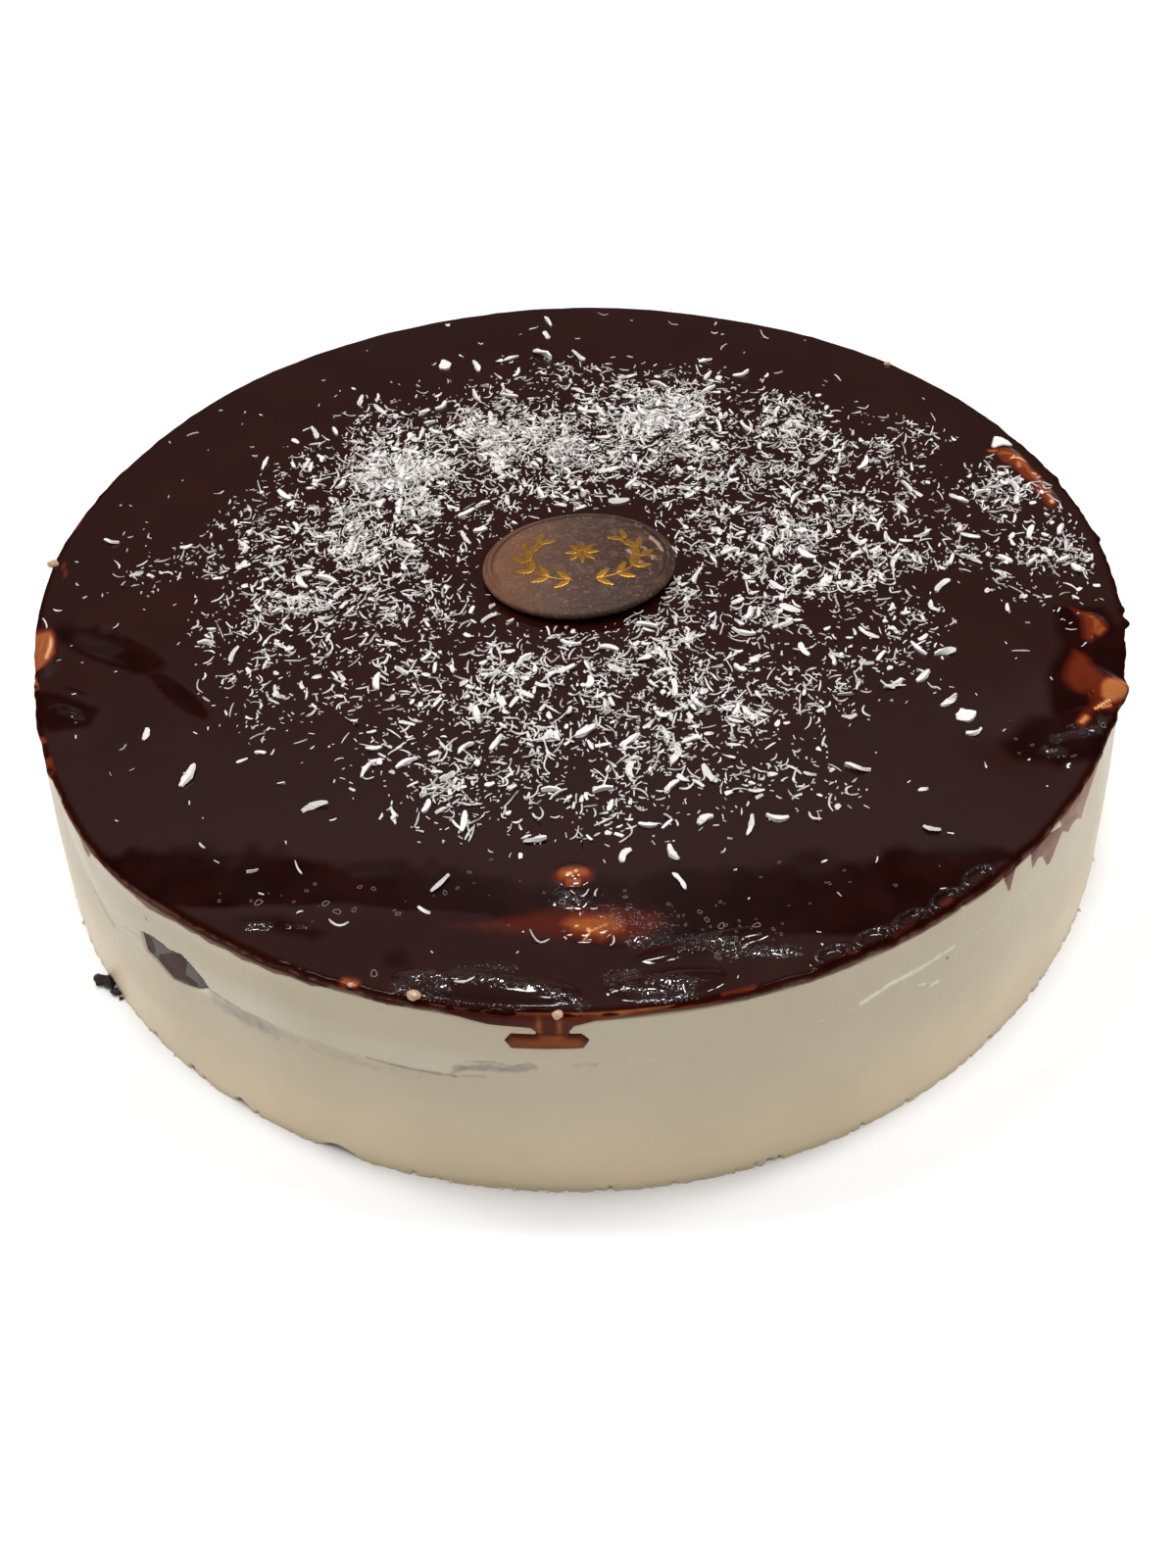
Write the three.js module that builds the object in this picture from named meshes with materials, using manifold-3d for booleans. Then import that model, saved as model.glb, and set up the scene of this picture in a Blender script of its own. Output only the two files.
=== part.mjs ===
// A round cheesecake: a pale cream body under a thin poured chocolate glaze that has run over the
// rim at the front, desiccated coconut scattered on top, a domed oval chocolate plaque in the middle
// and a dark chocolate shard that shows in the side. Millimetres, +Z up. The origin is the centre of
// the flat base and -Y is the front. A bearing is an angle in degrees round Z, counted from +X.

import * as THREE from "three";
import { mergeVertices } from "three/addons/utils/BufferGeometryUtils.js";
import Module from "manifold-3d";

const wasm = await Module();
wasm.setup();

// Driving dimensions of the cake.
const CAKE_HEIGHT = 54.8;
const BASE_RADIUS = 133;
const RIM_RADIUS = 127;
const SIDE_BELLY = 0.5;
const GLAZE_THICKNESS = 2;
const GLAZE_OVERHANG = 0.5;
const GAP = 0.3;
const CREAM_BEVEL = 1;
const SIDE_LEVELS = [13, 27, 41];
const SEGMENTS = 96;

// The foot is a little torn where the ring was lifted off. Two waves round the cake make the tears;
// their rates are radians to a degree of bearing.
const FOOT_HEIGHT = 2;
const FOOT_TEAR = 0.5;
const FOOT_WAVES = [{ rate: 0.61, shift: 0 }, { rate: 0.29, shift: 2 }];

// The glaze's rim, as inset from its edge and height above its underside, and its rings on top.
const GLAZE_RIM = [[0.6, 0], [0, 0.6], [0.3, 1.4], [1.6, 1.9]];
const GLAZE_RINGS = [122, 116, 109, 100, 86];

// Where the rim runs out of round: bearing, half width in degrees and offset.
const RIM_BULGES = [
  { bearing: -168, spread: 12, offset: -1.6 },
  { bearing: -138, spread: 9, offset: 1.5 },
  { bearing: 68, spread: 12, offset: -0.8 },
  { bearing: 134, spread: 12, offset: 0.8 },
];

// The glaze runs over the rim at the front and ends in a short neck with a wide foot. The outline is
// arc length from the bearing, and height.
const DRIP_BEARING = -94;
const DRIP_PROUD = 0.6;
const DRIP_SUNK = 0.5;
const DRIP_OUTLINE = [
  [-24.9, 54.2], [-20.6, 53.4], [-16.9, 52.1], [-10.2, 50.4], [-2.4, 50], [-1.6, 49.2],
  [-6, 49.2], [-7.6, 46.9], [-6.2, 44.4], [7.6, 44.6], [8.9, 47.3], [7.2, 49.3], [5.2, 49.4],
  [6, 50.6], [10.4, 52], [16.2, 52.9], [22.7, 53.4], [35.8, 54.2],
];

// The shard in the side: its outline as above, and how deep it goes in.
const SHARD_BEARING = -129.6;
const SHARD_DEPTH = 5;
const SHARD_SHY = 0.2;
const SHARD_OUTLINE = [
  [-9.4, 41], [-5.4, 42], [-0.9, 41.4], [2.4, 42.2], [4.7, 41], [7.6, 39],
  [9.2, 36.9], [5.8, 34.3], [1.8, 32.8], [-1.8, 31.9], [-5.8, 34.5], [-9, 35.6],
];

// Broad swells and hollows of the glaze. Along, across and height are half sizes in millimetres, and
// turn is the direction of along, in degrees from +X.
const GLAZE_SWELLS = [
  { x: 112, y: -47, along: 12, across: 9, turn: -60, height: 1.2 },
  { x: 116, y: -28, along: 8, across: 7, turn: 80, height: 0.7 },
  { x: 90, y: -63, along: 10, across: 8, turn: -10, height: -0.5 },
  { x: -113, y: -39, along: 9, across: 6, turn: -60, height: 0.5 },
];
const FRONT_SLUMP = { from: -92, to: -124, drop: 0.6 };

// Glossy lumps where the glaze has set over crumbs of cream. They reach a little way into the glaze.
const LUMP_ROOT = 0.7;
const LUMP_SEGMENTS = { round: 10, up: 4 };
const FRONT_LUMPS = [
  { x: -19, y: -120.4, along: 18, across: 3.6, turn: -9, height: 1.7 },
  { x: 14, y: -121.4, along: 11.5, across: 3.2, turn: 6, height: 1.3 },
  { x: 22, y: -112.8, along: 14, across: 2.4, turn: 13, height: 0.8 },
  { x: 0, y: -108.6, along: 5, across: 2.6, turn: 5, height: 0.7 },
  { x: -3, y: -100.8, along: 4, across: 2.4, turn: 0, height: 0.6 },
  { x: -2.4, y: -95.1, along: 3.6, across: 2.6, turn: 0, height: 1.2 },
];
const RIGHT_LUMPS = [
  { x: 113.5, y: -48.3, along: 7, across: 4.6, turn: -67, height: 1.5 },
  { x: 106.5, y: -57.5, along: 5, across: 3, turn: 35, height: 1 },
  { x: 104, y: -65, along: 8, across: 4, turn: 50, height: 1.1 },
  { x: 116.5, y: -28, along: 5, across: 4, turn: 80, height: 0.9 },
  { x: 114.5, y: 40, along: 8, across: 2.4, turn: -72, height: 0.9 },
  { x: 119, y: 24, along: 8, across: 2.2, turn: -76, height: 0.7 },
];
const LEFT_LUMPS = [
  { x: -120.5, y: -22, along: 9, across: 2.4, turn: 100, height: 0.8 },
  { x: -112, y: -43.5, along: 5, across: 2.4, turn: -25, height: 0.8 },
];
// A chain of lumps along the rim, right of the front.
const CHAIN = { from: -69, to: -53, count: 5, radius: 125, along: 3.9, across: 1.9, height: 1.1 };

// The dent a palette knife left at the left rim: a wide lens and a narrow tail.
const KNIFE_DENTS = [
  { x: -107, y: -21.5, along: 15, across: 4.6, turn: -30, depth: 1.1 },
  { x: -88, y: -38.5, along: 10, across: 2.2, turn: -47, depth: 0.8 },
];

// The plaque is a domed oval that leans a little to the left. The dome's rings are parts of its reach,
// and its reach is a part of the plaque's half length.
const PLAQUE_LENGTH = 46;
const PLAQUE_WIDTH = 39;
const PLAQUE_HEIGHT = 5;
const PLAQUE_CENTRE = { x: 1.4, y: -0.6 };
const PLAQUE_LEAN = 2;
const PLAQUE_SEGMENTS = 40;
const PLAQUE_FOOT_INSET = 1.4;
const PLAQUE_EDGE_HEIGHT = 1;
const DOME_FOOT = 2.2;
const DOME_REACH = 0.96;
const DOME_RINGS = [1, 0.8, 0.55, 0.28];

// Coconut lies in clumps: centre, spread and how thickly it lies.
const COCONUT_CLUMPS = [
  { x: 28, y: 72, spread: 17, amount: 1 },
  { x: -44, y: 42, spread: 20, amount: 1 },
  { x: -20, y: 62, spread: 17, amount: 0.8 },
  { x: -62, y: 8, spread: 22, amount: 0.8 },
  { x: 6, y: 46, spread: 18, amount: 0.5 },
  { x: 56, y: 52, spread: 20, amount: 0.6 },
  { x: 64, y: 6, spread: 22, amount: 0.8 },
  { x: 112, y: 10, spread: 18, amount: 0.8 },
  { x: -10, y: -44, spread: 22, amount: 0.8 },
  { x: 32, y: -34, spread: 22, amount: 0.6 },
  { x: 12, y: -66, spread: 22, amount: 0.6 },
  { x: -30, y: -72, spread: 18, amount: 0.5 },
  { x: -4, y: 96, spread: 16, amount: 0.3 },
  { x: 76, y: -48, spread: 18, amount: 0.3 },
];
const FLAKE_COUNT = 205;
const FLAKE_LENGTH = { min: 3, max: 5.6 };
const FLAKE_WIDTH = { min: 0.8, max: 1.5 };
const FLAKE_THICKNESS = 0.8;
const FLAKE_SINK = 0.25;
const FLAKE_CLEARANCE = 0.5;
const FLAKE_TAPER = 0.55;
const FLAKE_CURL = 0.9;
const FLAKE_LIFT = 0.8;
const LONE_CURL = 0.3;
const FLAKE_STEPS = 3;
const FLAKE_REACH = 121;
const PLAQUE_MARGIN = 1;

// Flakes that lie apart from the rest: place, length, width and direction.
const LONE_FLAKES = [
  { x: -34, y: 96, length: 4.4, width: 3.2, turn: 80 },
  { x: -25, y: 95, length: 6, width: 1.5, turn: 105 },
  { x: -6, y: 100, length: 7, width: 4, turn: 130 },
  { x: 4, y: 98.5, length: 6, width: 2.2, turn: 120 },
  { x: -5, y: 110.5, length: 4, width: 1.2, turn: 110 },
  { x: -114, y: 18.5, length: 4, width: 1.6, turn: -20 },
  { x: -93, y: -51, length: 3.6, width: 1.4, turn: 85 },
  { x: -82, y: -64, length: 6.5, width: 2.2, turn: 75 },
  { x: 82.5, y: -55, length: 4.4, width: 3.4, turn: 20 },
  { x: 80, y: -50.5, length: 5, width: 1.8, turn: 40 },
  { x: 69, y: -87, length: 3.4, width: 1.8, turn: -20 },
  { x: 57, y: -69.5, length: 5.4, width: 1.8, turn: -20 },
];

const CREAM = { color: 0xc9bb9d, roughness: 0.42 };
const GLAZE = { color: 0x2e1e1b, roughness: 0.12 };
const PLAQUE = { color: 0x58453c, roughness: 0.5 };
const SHARD = { color: 0x4d3c38, roughness: 0.35 };

// Points closer together than this are one.
const WELD = 1e-4;

// Random draws that come out the same each time.
let seed = 52;
function random() {
  seed = (Math.imul(seed, 1664525) + 1013904223) >>> 0;
  return seed / 2 ** 32;
}
const between = (low, high) => low + (high - low) * random();
const bell = (distance, spread) => Math.exp(-((distance / spread) ** 2));
const bearingOf = (x, y) => THREE.MathUtils.radToDeg(Math.atan2(y, x));

// How far the rim stands out of round at a bearing.
function rimOffset(bearing) {
  let offset = 0;
  for (const bulge of RIM_BULGES) {
    const away = THREE.MathUtils.euclideanModulo(bearing - bulge.bearing + 180, 360) - 180;
    offset += bulge.offset * bell(away, bulge.spread);
  }
  return offset;
}

// Radius of the cream's side at a bearing and height.
function sideRadius(bearing, z) {
  const rise = z / CAKE_HEIGHT;
  const cone = THREE.MathUtils.lerp(BASE_RADIUS, RIM_RADIUS, rise);
  return cone + SIDE_BELLY * Math.sin(Math.PI * rise) + rise * rimOffset(bearing);
}

// Position along and across a feature, as parts of its half sizes.
function featureDistance(feature, x, y) {
  const turn = THREE.MathUtils.degToRad(feature.turn);
  const along = (x - feature.x) * Math.cos(turn) + (y - feature.y) * Math.sin(turn);
  const across = (y - feature.y) * Math.cos(turn) - (x - feature.x) * Math.sin(turn);
  return Math.hypot(along / feature.along, across / feature.across);
}

// Height of the glaze without its lumps and dents.
function glazeTop(x, y) {
  const slump = FRONT_SLUMP.drop * THREE.MathUtils.smoothstep(-y, -FRONT_SLUMP.from, -FRONT_SLUMP.to);
  const swells = GLAZE_SWELLS.map((swell) => swell.height * bell(featureDistance(swell, x, y), 1));
  return swells.reduce((sum, height) => sum + height, CAKE_HEIGHT - slump);
}

// Moves every vertex of a geometry.
function moveVertices(geometry, move) {
  const positions = geometry.attributes.position;
  const point = new THREE.Vector3();
  for (let i = 0; i < positions.count; i += 1) {
    move(point.fromBufferAttribute(positions, i));
    positions.setXYZ(i, point.x, point.y, point.z);
  }
  return geometry;
}

// A body of revolution round Z from [radius, height] pairs, bottom first.
function revolve(profile, segments) {
  const points = profile.map(([radius, height]) => new THREE.Vector2(radius, height));
  return new THREE.LatheGeometry(points, segments).rotateX(Math.PI / 2);
}

// Turns a closed geometry into a solid that can be joined and cut.
function solidFrom(geometry) {
  const bare = geometry.clone();
  bare.deleteAttribute("normal");
  bare.deleteAttribute("uv");
  const merged = mergeVertices(bare, WELD);
  const corners = merged.index.array;
  const triVerts = [];
  for (let i = 0; i < corners.length; i += 3) {
    const [a, b, c] = corners.slice(i, i + 3);
    if (a !== b && b !== c && c !== a) triVerts.push(a, b, c);
  }
  return new wasm.Manifold(new wasm.Mesh({
    numProp: 3,
    vertProperties: new Float32Array(merged.attributes.position.array),
    triVerts: new Uint32Array(triVerts),
  }));
}

function geometryFrom(solid) {
  const { vertProperties, triVerts } = solid.getMesh();
  const geometry = new THREE.BufferGeometry();
  geometry.setAttribute("position", new THREE.BufferAttribute(vertProperties, 3));
  geometry.setIndex(new THREE.BufferAttribute(triVerts, 1));
  geometry.computeVertexNormals();
  return geometry;
}

function namedMesh(name, geometry, look) {
  const mesh = new THREE.Mesh(geometry, new THREE.MeshStandardMaterial({ metalness: 0, ...look }));
  mesh.name = name;
  return mesh;
}

// The outline with every point moved outward by a margin.
function grownOutline(outline, margin) {
  const points = outline.map(([s, z]) => new THREE.Vector2(s, z));
  const sense = Math.sign(THREE.ShapeUtils.area(points));
  return points.map((point, i) => {
    const run = points[(i + 1) % points.length].clone().sub(points.at(i - 1)).normalize();
    return [point.x + run.y * sense * margin, point.y - run.x * sense * margin];
  });
}

// A plate that follows the cake's side, from an outline in arc length and height. It reaches from
// inner to outer, both counted outward from the side.
function sidePlate(outline, bearing, inner, outer) {
  const shape = new THREE.Shape(outline.map(([s, z]) => new THREE.Vector2(s, z)));
  const plate = new THREE.ExtrudeGeometry(shape, { depth: 1, bevelEnabled: false });
  return solidFrom(moveVertices(plate, (point) => {
    const pointBearing = bearing + THREE.MathUtils.radToDeg(point.x / RIM_RADIUS);
    const radius = sideRadius(pointBearing, point.y) + THREE.MathUtils.lerp(inner, outer, point.z);
    const angle = THREE.MathUtils.degToRad(pointBearing);
    point.set(radius * Math.cos(angle), radius * Math.sin(angle), point.y);
  }));
}

// An ellipsoid on the glaze, with its own height above its middle and depth below it.
function ellipsoid({ x, y, along, across, turn }, height, depth) {
  const ball = new THREE.SphereGeometry(1, LUMP_SEGMENTS.round, LUMP_SEGMENTS.up);
  ball.rotateX(Math.PI / 2).scale(along, across, 1);
  moveVertices(ball, (point) => point.setZ(point.z * (point.z > 0 ? height : depth)));
  ball.rotateZ(THREE.MathUtils.degToRad(turn)).translate(x, y, glazeTop(x, y));
  return solidFrom(ball);
}

function chainLumps() {
  return Array.from({ length: CHAIN.count }, (_, i) => {
    const bearing = THREE.MathUtils.lerp(CHAIN.from, CHAIN.to, i / (CHAIN.count - 1));
    const angle = THREE.MathUtils.degToRad(bearing);
    return {
      ...CHAIN,
      x: CHAIN.radius * Math.cos(angle),
      y: CHAIN.radius * Math.sin(angle),
      turn: bearing + 90,
    };
  });
}

// The cream body, with seats for the drip and the shard.
function creamBody() {
  const top = CAKE_HEIGHT - GLAZE_THICKNESS - GAP;
  const heights = [0, FOOT_HEIGHT, ...SIDE_LEVELS, top - CREAM_BEVEL];
  const side = heights.map((z) => [BASE_RADIUS, z]);
  const profile = [[0, 0], ...side, [BASE_RADIUS - CREAM_BEVEL, top], [0, top]];
  const body = moveVertices(revolve(profile, SEGMENTS), (point) => {
    const reach = Math.hypot(point.x, point.y);
    if (reach === 0) return;
    const bearing = bearingOf(point.x, point.y);
    const tear = FOOT_WAVES.reduce((wave, { rate, shift }) => wave * Math.sin(bearing * rate + shift), 1);
    const foot = point.z < FOOT_HEIGHT ? FOOT_TEAR * (tear - 1) : 0;
    const radius = sideRadius(bearing, point.z) + foot + reach - BASE_RADIUS;
    point.x *= radius / reach;
    point.y *= radius / reach;
  });
  const dripSeat = sidePlate(
    grownOutline(DRIP_OUTLINE, GAP), DRIP_BEARING, -DRIP_SUNK - GAP, DRIP_PROUD + GAP);
  const shardSeat = sidePlate(
    grownOutline(SHARD_OUTLINE, GAP), SHARD_BEARING, -SHARD_DEPTH - GAP, SHARD_DEPTH);
  return solidFrom(body).subtract(dripSeat).subtract(shardSeat);
}

// The poured glaze before anything lies on it.
function glazeSlab() {
  const bottom = CAKE_HEIGHT - GLAZE_THICKNESS;
  const edge = RIM_RADIUS + GLAZE_OVERHANG;
  const rim = GLAZE_RIM.map(([inset, rise]) => [edge - inset, bottom + rise]);
  const rings = GLAZE_RINGS.map((radius) => [radius, CAKE_HEIGHT]);
  const profile = [[0, bottom], ...rim, ...rings, [0, CAKE_HEIGHT]];
  return solidFrom(moveVertices(revolve(profile, SEGMENTS), (point) => {
    const scale = 1 + rimOffset(bearingOf(point.x, point.y)) / RIM_RADIUS;
    point.x *= scale;
    point.y *= scale;
    if (point.z > bottom + GLAZE_THICKNESS / 2) point.z += glazeTop(point.x, point.y) - CAKE_HEIGHT;
  }));
}

// How thickly coconut lies at a place.
function coconutAmount(x, y) {
  return COCONUT_CLUMPS.reduce(
    (sum, clump) => sum + clump.amount * bell(Math.hypot(x - clump.x, y - clump.y), clump.spread), 0);
}

function clearOfPlaque(flake) {
  const margin = flake.length / 2 + PLAQUE_MARGIN;
  const along = (flake.x - PLAQUE_CENTRE.x) / (PLAQUE_LENGTH / 2 + margin);
  const across = (flake.y - PLAQUE_CENTRE.y) / (PLAQUE_WIDTH / 2 + margin);
  return Math.hypot(along, across) > 1;
}

// Flakes keep apart, so that no hollow is closed in between them.
function clearOfFlakes(flake, flakes) {
  return flakes.every((other) => {
    const reach = (flake.length + other.length) / 2 + FLAKE_CLEARANCE;
    return Math.hypot(flake.x - other.x, flake.y - other.y) > reach;
  });
}

function scatteredFlakes() {
  const flakes = LONE_FLAKES.map((flake) => ({ ...flake, curl: LONE_CURL, lift: 0 }));
  while (flakes.length < FLAKE_COUNT) {
    const flake = {
      x: between(-FLAKE_REACH, FLAKE_REACH),
      y: between(-FLAKE_REACH, FLAKE_REACH),
      length: between(FLAKE_LENGTH.min, FLAKE_LENGTH.max),
      width: between(FLAKE_WIDTH.min, FLAKE_WIDTH.max),
      turn: between(0, 180),
      curl: between(-FLAKE_CURL, FLAKE_CURL),
      lift: between(0, FLAKE_LIFT),
    };
    const wanted = random() < coconutAmount(flake.x, flake.y);
    const onTop = Math.hypot(flake.x, flake.y) < FLAKE_REACH;
    if (wanted && onTop && clearOfPlaque(flake) && clearOfFlakes(flake, flakes)) flakes.push(flake);
  }
  return flakes;
}

// One flake: a short strip that narrows to its ends, curls sideways and lifts at one end.
function flakeSolid({ x, y, length, width, turn, curl, lift }) {
  const strip = new THREE.BoxGeometry(length, width, FLAKE_THICKNESS, FLAKE_STEPS, 1, 1);
  moveVertices(strip, (point) => {
    const along = point.x / (length / 2);
    point.y = point.y * (1 - FLAKE_TAPER * along ** 2) + curl * along ** 2;
    point.z += Math.max(0, along) * lift;
  });
  strip.rotateZ(THREE.MathUtils.degToRad(turn));
  strip.translate(x, y, glazeTop(x, y) + FLAKE_THICKNESS / 2 - FLAKE_SINK);
  return solidFrom(strip);
}

function glaze() {
  let solid = glazeSlab();
  for (const lump of [...FRONT_LUMPS, ...RIGHT_LUMPS, ...LEFT_LUMPS, ...chainLumps()]) {
    solid = solid.add(ellipsoid(lump, lump.height, LUMP_ROOT));
  }
  for (const dent of KNIFE_DENTS) {
    solid = solid.subtract(ellipsoid(dent, dent.depth, dent.depth));
  }
  solid = solid.add(sidePlate(DRIP_OUTLINE, DRIP_BEARING, -DRIP_SUNK, DRIP_PROUD));
  for (const flake of scatteredFlakes()) {
    solid = solid.add(flakeSolid(flake));
  }
  return solid;
}

// The plaque: flat below, with a rounded edge and a low dome.
function plaque() {
  const half = PLAQUE_LENGTH / 2;
  const rise = PLAQUE_HEIGHT - DOME_FOOT;
  const dome = DOME_RINGS.map((part) => [half * DOME_REACH * part, DOME_FOOT + (1 - part ** 2) * rise]);
  const edge = [[half - PLAQUE_FOOT_INSET, 0], [half, PLAQUE_EDGE_HEIGHT]];
  const profile = [[0, 0], ...edge, ...dome, [0, PLAQUE_HEIGHT]];
  const geometry = revolve(profile, PLAQUE_SEGMENTS).scale(1, PLAQUE_WIDTH / PLAQUE_LENGTH, 1);
  return geometryFrom(solidFrom(geometry));
}

const group = new THREE.Group();

group.add(namedMesh("cream_body", geometryFrom(creamBody()), CREAM));
group.add(namedMesh("glaze", geometryFrom(glaze()), GLAZE));

const shard = sidePlate(SHARD_OUTLINE, SHARD_BEARING, -SHARD_DEPTH, -SHARD_SHY);
group.add(namedMesh("side_shard", geometryFrom(shard), SHARD));

const plaqueMesh = namedMesh("plaque", plaque(), PLAQUE);
const leanRise = Math.sin(THREE.MathUtils.degToRad(PLAQUE_LEAN)) * (PLAQUE_LENGTH / 2);
plaqueMesh.position.set(PLAQUE_CENTRE.x, PLAQUE_CENTRE.y, CAKE_HEIGHT + GAP + leanRise);
plaqueMesh.rotation.y = -THREE.MathUtils.degToRad(PLAQUE_LEAN);
group.add(plaqueMesh);

export default group;
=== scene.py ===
"""Looks of a round cheesecake: pale cream, a poured dark glaze, coconut shreds and a chocolate plaque.

Lengths are millimetres and MM turns them into the frame's metres. A bearing is an angle in degrees round Z,
counted from +X, and -Y is the front. Outlines on top are x, y and outlines on the side are bearing, height.
"""

import itertools
import math

import bpy
import numpy as np
from mathutils import Matrix, Vector


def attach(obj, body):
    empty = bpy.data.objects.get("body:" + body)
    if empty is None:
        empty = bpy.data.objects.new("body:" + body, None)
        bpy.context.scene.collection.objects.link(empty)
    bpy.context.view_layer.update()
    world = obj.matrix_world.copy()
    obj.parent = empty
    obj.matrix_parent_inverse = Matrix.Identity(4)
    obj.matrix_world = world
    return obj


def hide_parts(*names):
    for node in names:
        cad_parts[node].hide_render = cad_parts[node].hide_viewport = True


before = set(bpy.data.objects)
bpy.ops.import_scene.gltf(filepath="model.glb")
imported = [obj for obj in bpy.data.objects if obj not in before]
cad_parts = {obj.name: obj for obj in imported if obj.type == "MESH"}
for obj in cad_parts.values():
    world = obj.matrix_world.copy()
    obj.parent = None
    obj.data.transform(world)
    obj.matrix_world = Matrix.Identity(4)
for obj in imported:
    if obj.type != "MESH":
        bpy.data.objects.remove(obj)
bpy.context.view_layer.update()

MM = 0.001

# ---------------------------------------------------------------- camera
CAMERA_PLACE = (0, -280.24, 273.23)
CAMERA_PITCH = 46.19
CAMERA_YAW = 0.3477
CAMERA_ROLL = -2.019
CAMERA_LENS = 33.75
SENSOR_WIDTH = 36
CLIP_START = 0.01


def placed(name, data):
    """A new object in the scene."""
    made = bpy.data.objects.new(name, data)
    bpy.context.scene.collection.objects.link(made)
    return made


def make_camera():
    data = bpy.data.cameras.new("camera")
    data.lens = CAMERA_LENS
    data.sensor_width = SENSOR_WIDTH
    data.clip_start = CLIP_START
    camera = placed("camera", data)
    turn = Matrix.Rotation(math.radians(-CAMERA_YAW), 4, "Z")
    lift = Matrix.Rotation(math.radians(90 - CAMERA_PITCH), 4, "X")
    roll = Matrix.Rotation(math.radians(CAMERA_ROLL), 4, "Z")
    camera.matrix_world = Matrix.Translation(Vector(CAMERA_PLACE) * MM) @ turn @ lift @ roll
    bpy.context.scene.camera = camera


make_camera()

# ---------------------------------------------------------------- sizes, as in the CAD part
CAKE_HEIGHT = 54.8
BASE_RADIUS = 133
RIM_RADIUS = 127
SIDE_BELLY = 0.5
GLAZE_THICKNESS = 2
GLAZE_OVERHANG = 0.5
GLAZE_BOTTOM = CAKE_HEIGHT - GLAZE_THICKNESS
GLAZE_EDGE = RIM_RADIUS + GLAZE_OVERHANG
DEGREE_LENGTH = math.radians(1) * RIM_RADIUS

# Where the rim bulges or draws in: bearing, spread and how far.
RIM_BULGES = [(-168, 12, -1.6), (-138, 9, 1.5), (68, 12, -0.8), (134, 12, 0.8)]

# The drip and the shard lie round a bearing: their outlines are arc length from it, and height.
DRIP_BEARING = -94
DRIP_PROUD = 0.6
DRIP_OUTLINE = [
    (-24.9, 54.2), (-20.6, 53.4), (-16.9, 52.1), (-10.2, 50.4), (-2.4, 50), (-1.6, 49.2), (-6, 49.2),
    (-7.6, 46.9), (-6.2, 44.4), (7.6, 44.6), (8.9, 47.3), (7.2, 49.3), (5.2, 49.4), (6, 50.6), (10.4, 52),
    (16.2, 52.9), (22.7, 53.4), (35.8, 54.2),
]

# How far the edges of the drip and the shard lie under the side.
SUNK = 0.3

SHARD_BEARING = -129.6
SHARD_OUTLINE = [
    (-9.4, 41), (-5.4, 42), (-0.9, 41.4), (2.4, 42.2), (4.7, 41), (7.6, 39), (9.2, 36.9), (5.8, 34.3),
    (1.8, 32.8), (-1.8, 31.9), (-5.8, 34.5), (-9, 35.6),
]

# x, y, half length, half width, direction in degrees and height.
GLAZE_SWELLS = [
    (112, -47, 12, 9, -60, 1.2), (116, -28, 8, 7, 80, 0.7), (90, -63, 10, 8, -10, -0.5),
    (-113, -39, 9, 6, -60, 0.5),
]
FRONT_LUMPS = [
    (-19, -120.4, 18, 3.6, -9, 1.7), (14, -121.4, 11.5, 3.2, 6, 1.3), (22, -112.8, 14, 2.4, 13, 0.8),
    (0, -108.6, 5, 2.6, 5, 0.7), (-3, -100.8, 4, 2.4, 0, 0.6), (-2.4, -95.1, 3.6, 2.6, 0, 1.2),
]
SIDE_LUMPS = [
    (113.5, -48.3, 7, 4.6, -67, 1.5), (106.5, -57.5, 5, 3, 35, 1), (104, -65, 8, 4, 50, 1.1),
    (116.5, -28, 5, 4, 80, 0.9), (114.5, 40, 8, 2.4, -72, 0.9), (119, 24, 8, 2.2, -76, 0.7),
    (-120.5, -22, 9, 2.4, 100, 0.8), (-112, -43.5, 5, 2.4, -25, 0.8),
]
KNIFE_DENTS = [(-107, -21.5, 15, 4.6, -30, 1.1), (-88, -38.5, 10, 2.2, -47, 0.8)]
# The top sinks towards the front: where it starts and ends to, and how much.
FRONT_SLUMP = (92, 124, 0.6)
# A string of small lumps on the rim: half length, half width and height of each.
CHAIN_BEARINGS = (-69, -53)
CHAIN_COUNT = 5
CHAIN_RADIUS = 125
CHAIN_CELL = (3.9, 1.9, 1.1)

PLAQUE_LENGTH = 46
PLAQUE_WIDTH = 39
PLAQUE_HEIGHT = 5
PLAQUE_CENTRE = (1.4, -0.6)
PLAQUE_LEAN = 2
PLAQUE_GAP = 0.3


# ---------------------------------------------------------------- small maths
def smooth_step(value, low, high):
    part = np.clip((value - low) / (high - low), 0, 1)
    return part * part * (3 - 2 * part)


def bell(distance, spread=1.0):
    return np.exp(-(distance / spread) ** 2)


def away_from(bearing, centre):
    return (bearing - centre + 180) % 360 - 180


def at_bearing(radius, bearing):
    """x and y at a distance from the middle along a bearing."""
    angle = np.radians(bearing)
    return radius * np.cos(angle), radius * np.sin(angle)


def along_side(points, centre=0):
    """Bearing and height as arc length from a centre, and height."""
    return [((bearing - centre) * DEGREE_LENGTH, z) for bearing, z in points]


def stepped(spans, last):
    """Values up to the last one, from starts that each have their own step."""
    ends = [start for start, _ in spans[1:]] + [last]
    return np.concatenate([np.arange(start, end, step) for (start, step), end in zip(spans, ends)])


def cell_value(ix, iy, iz, seed):
    """A repeatable value from -1 to 1 for each whole-number cell."""
    mixed = (ix * 374761393 + iy * 668265263 + iz * 1442695041 + seed * 974634777) & 0xFFFFFFFF
    mixed = ((mixed ^ (mixed >> 13)) * 1274126177) & 0xFFFFFFFF
    return ((mixed ^ (mixed >> 16)) & 0xFFFF) / 32767.5 - 1


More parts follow.
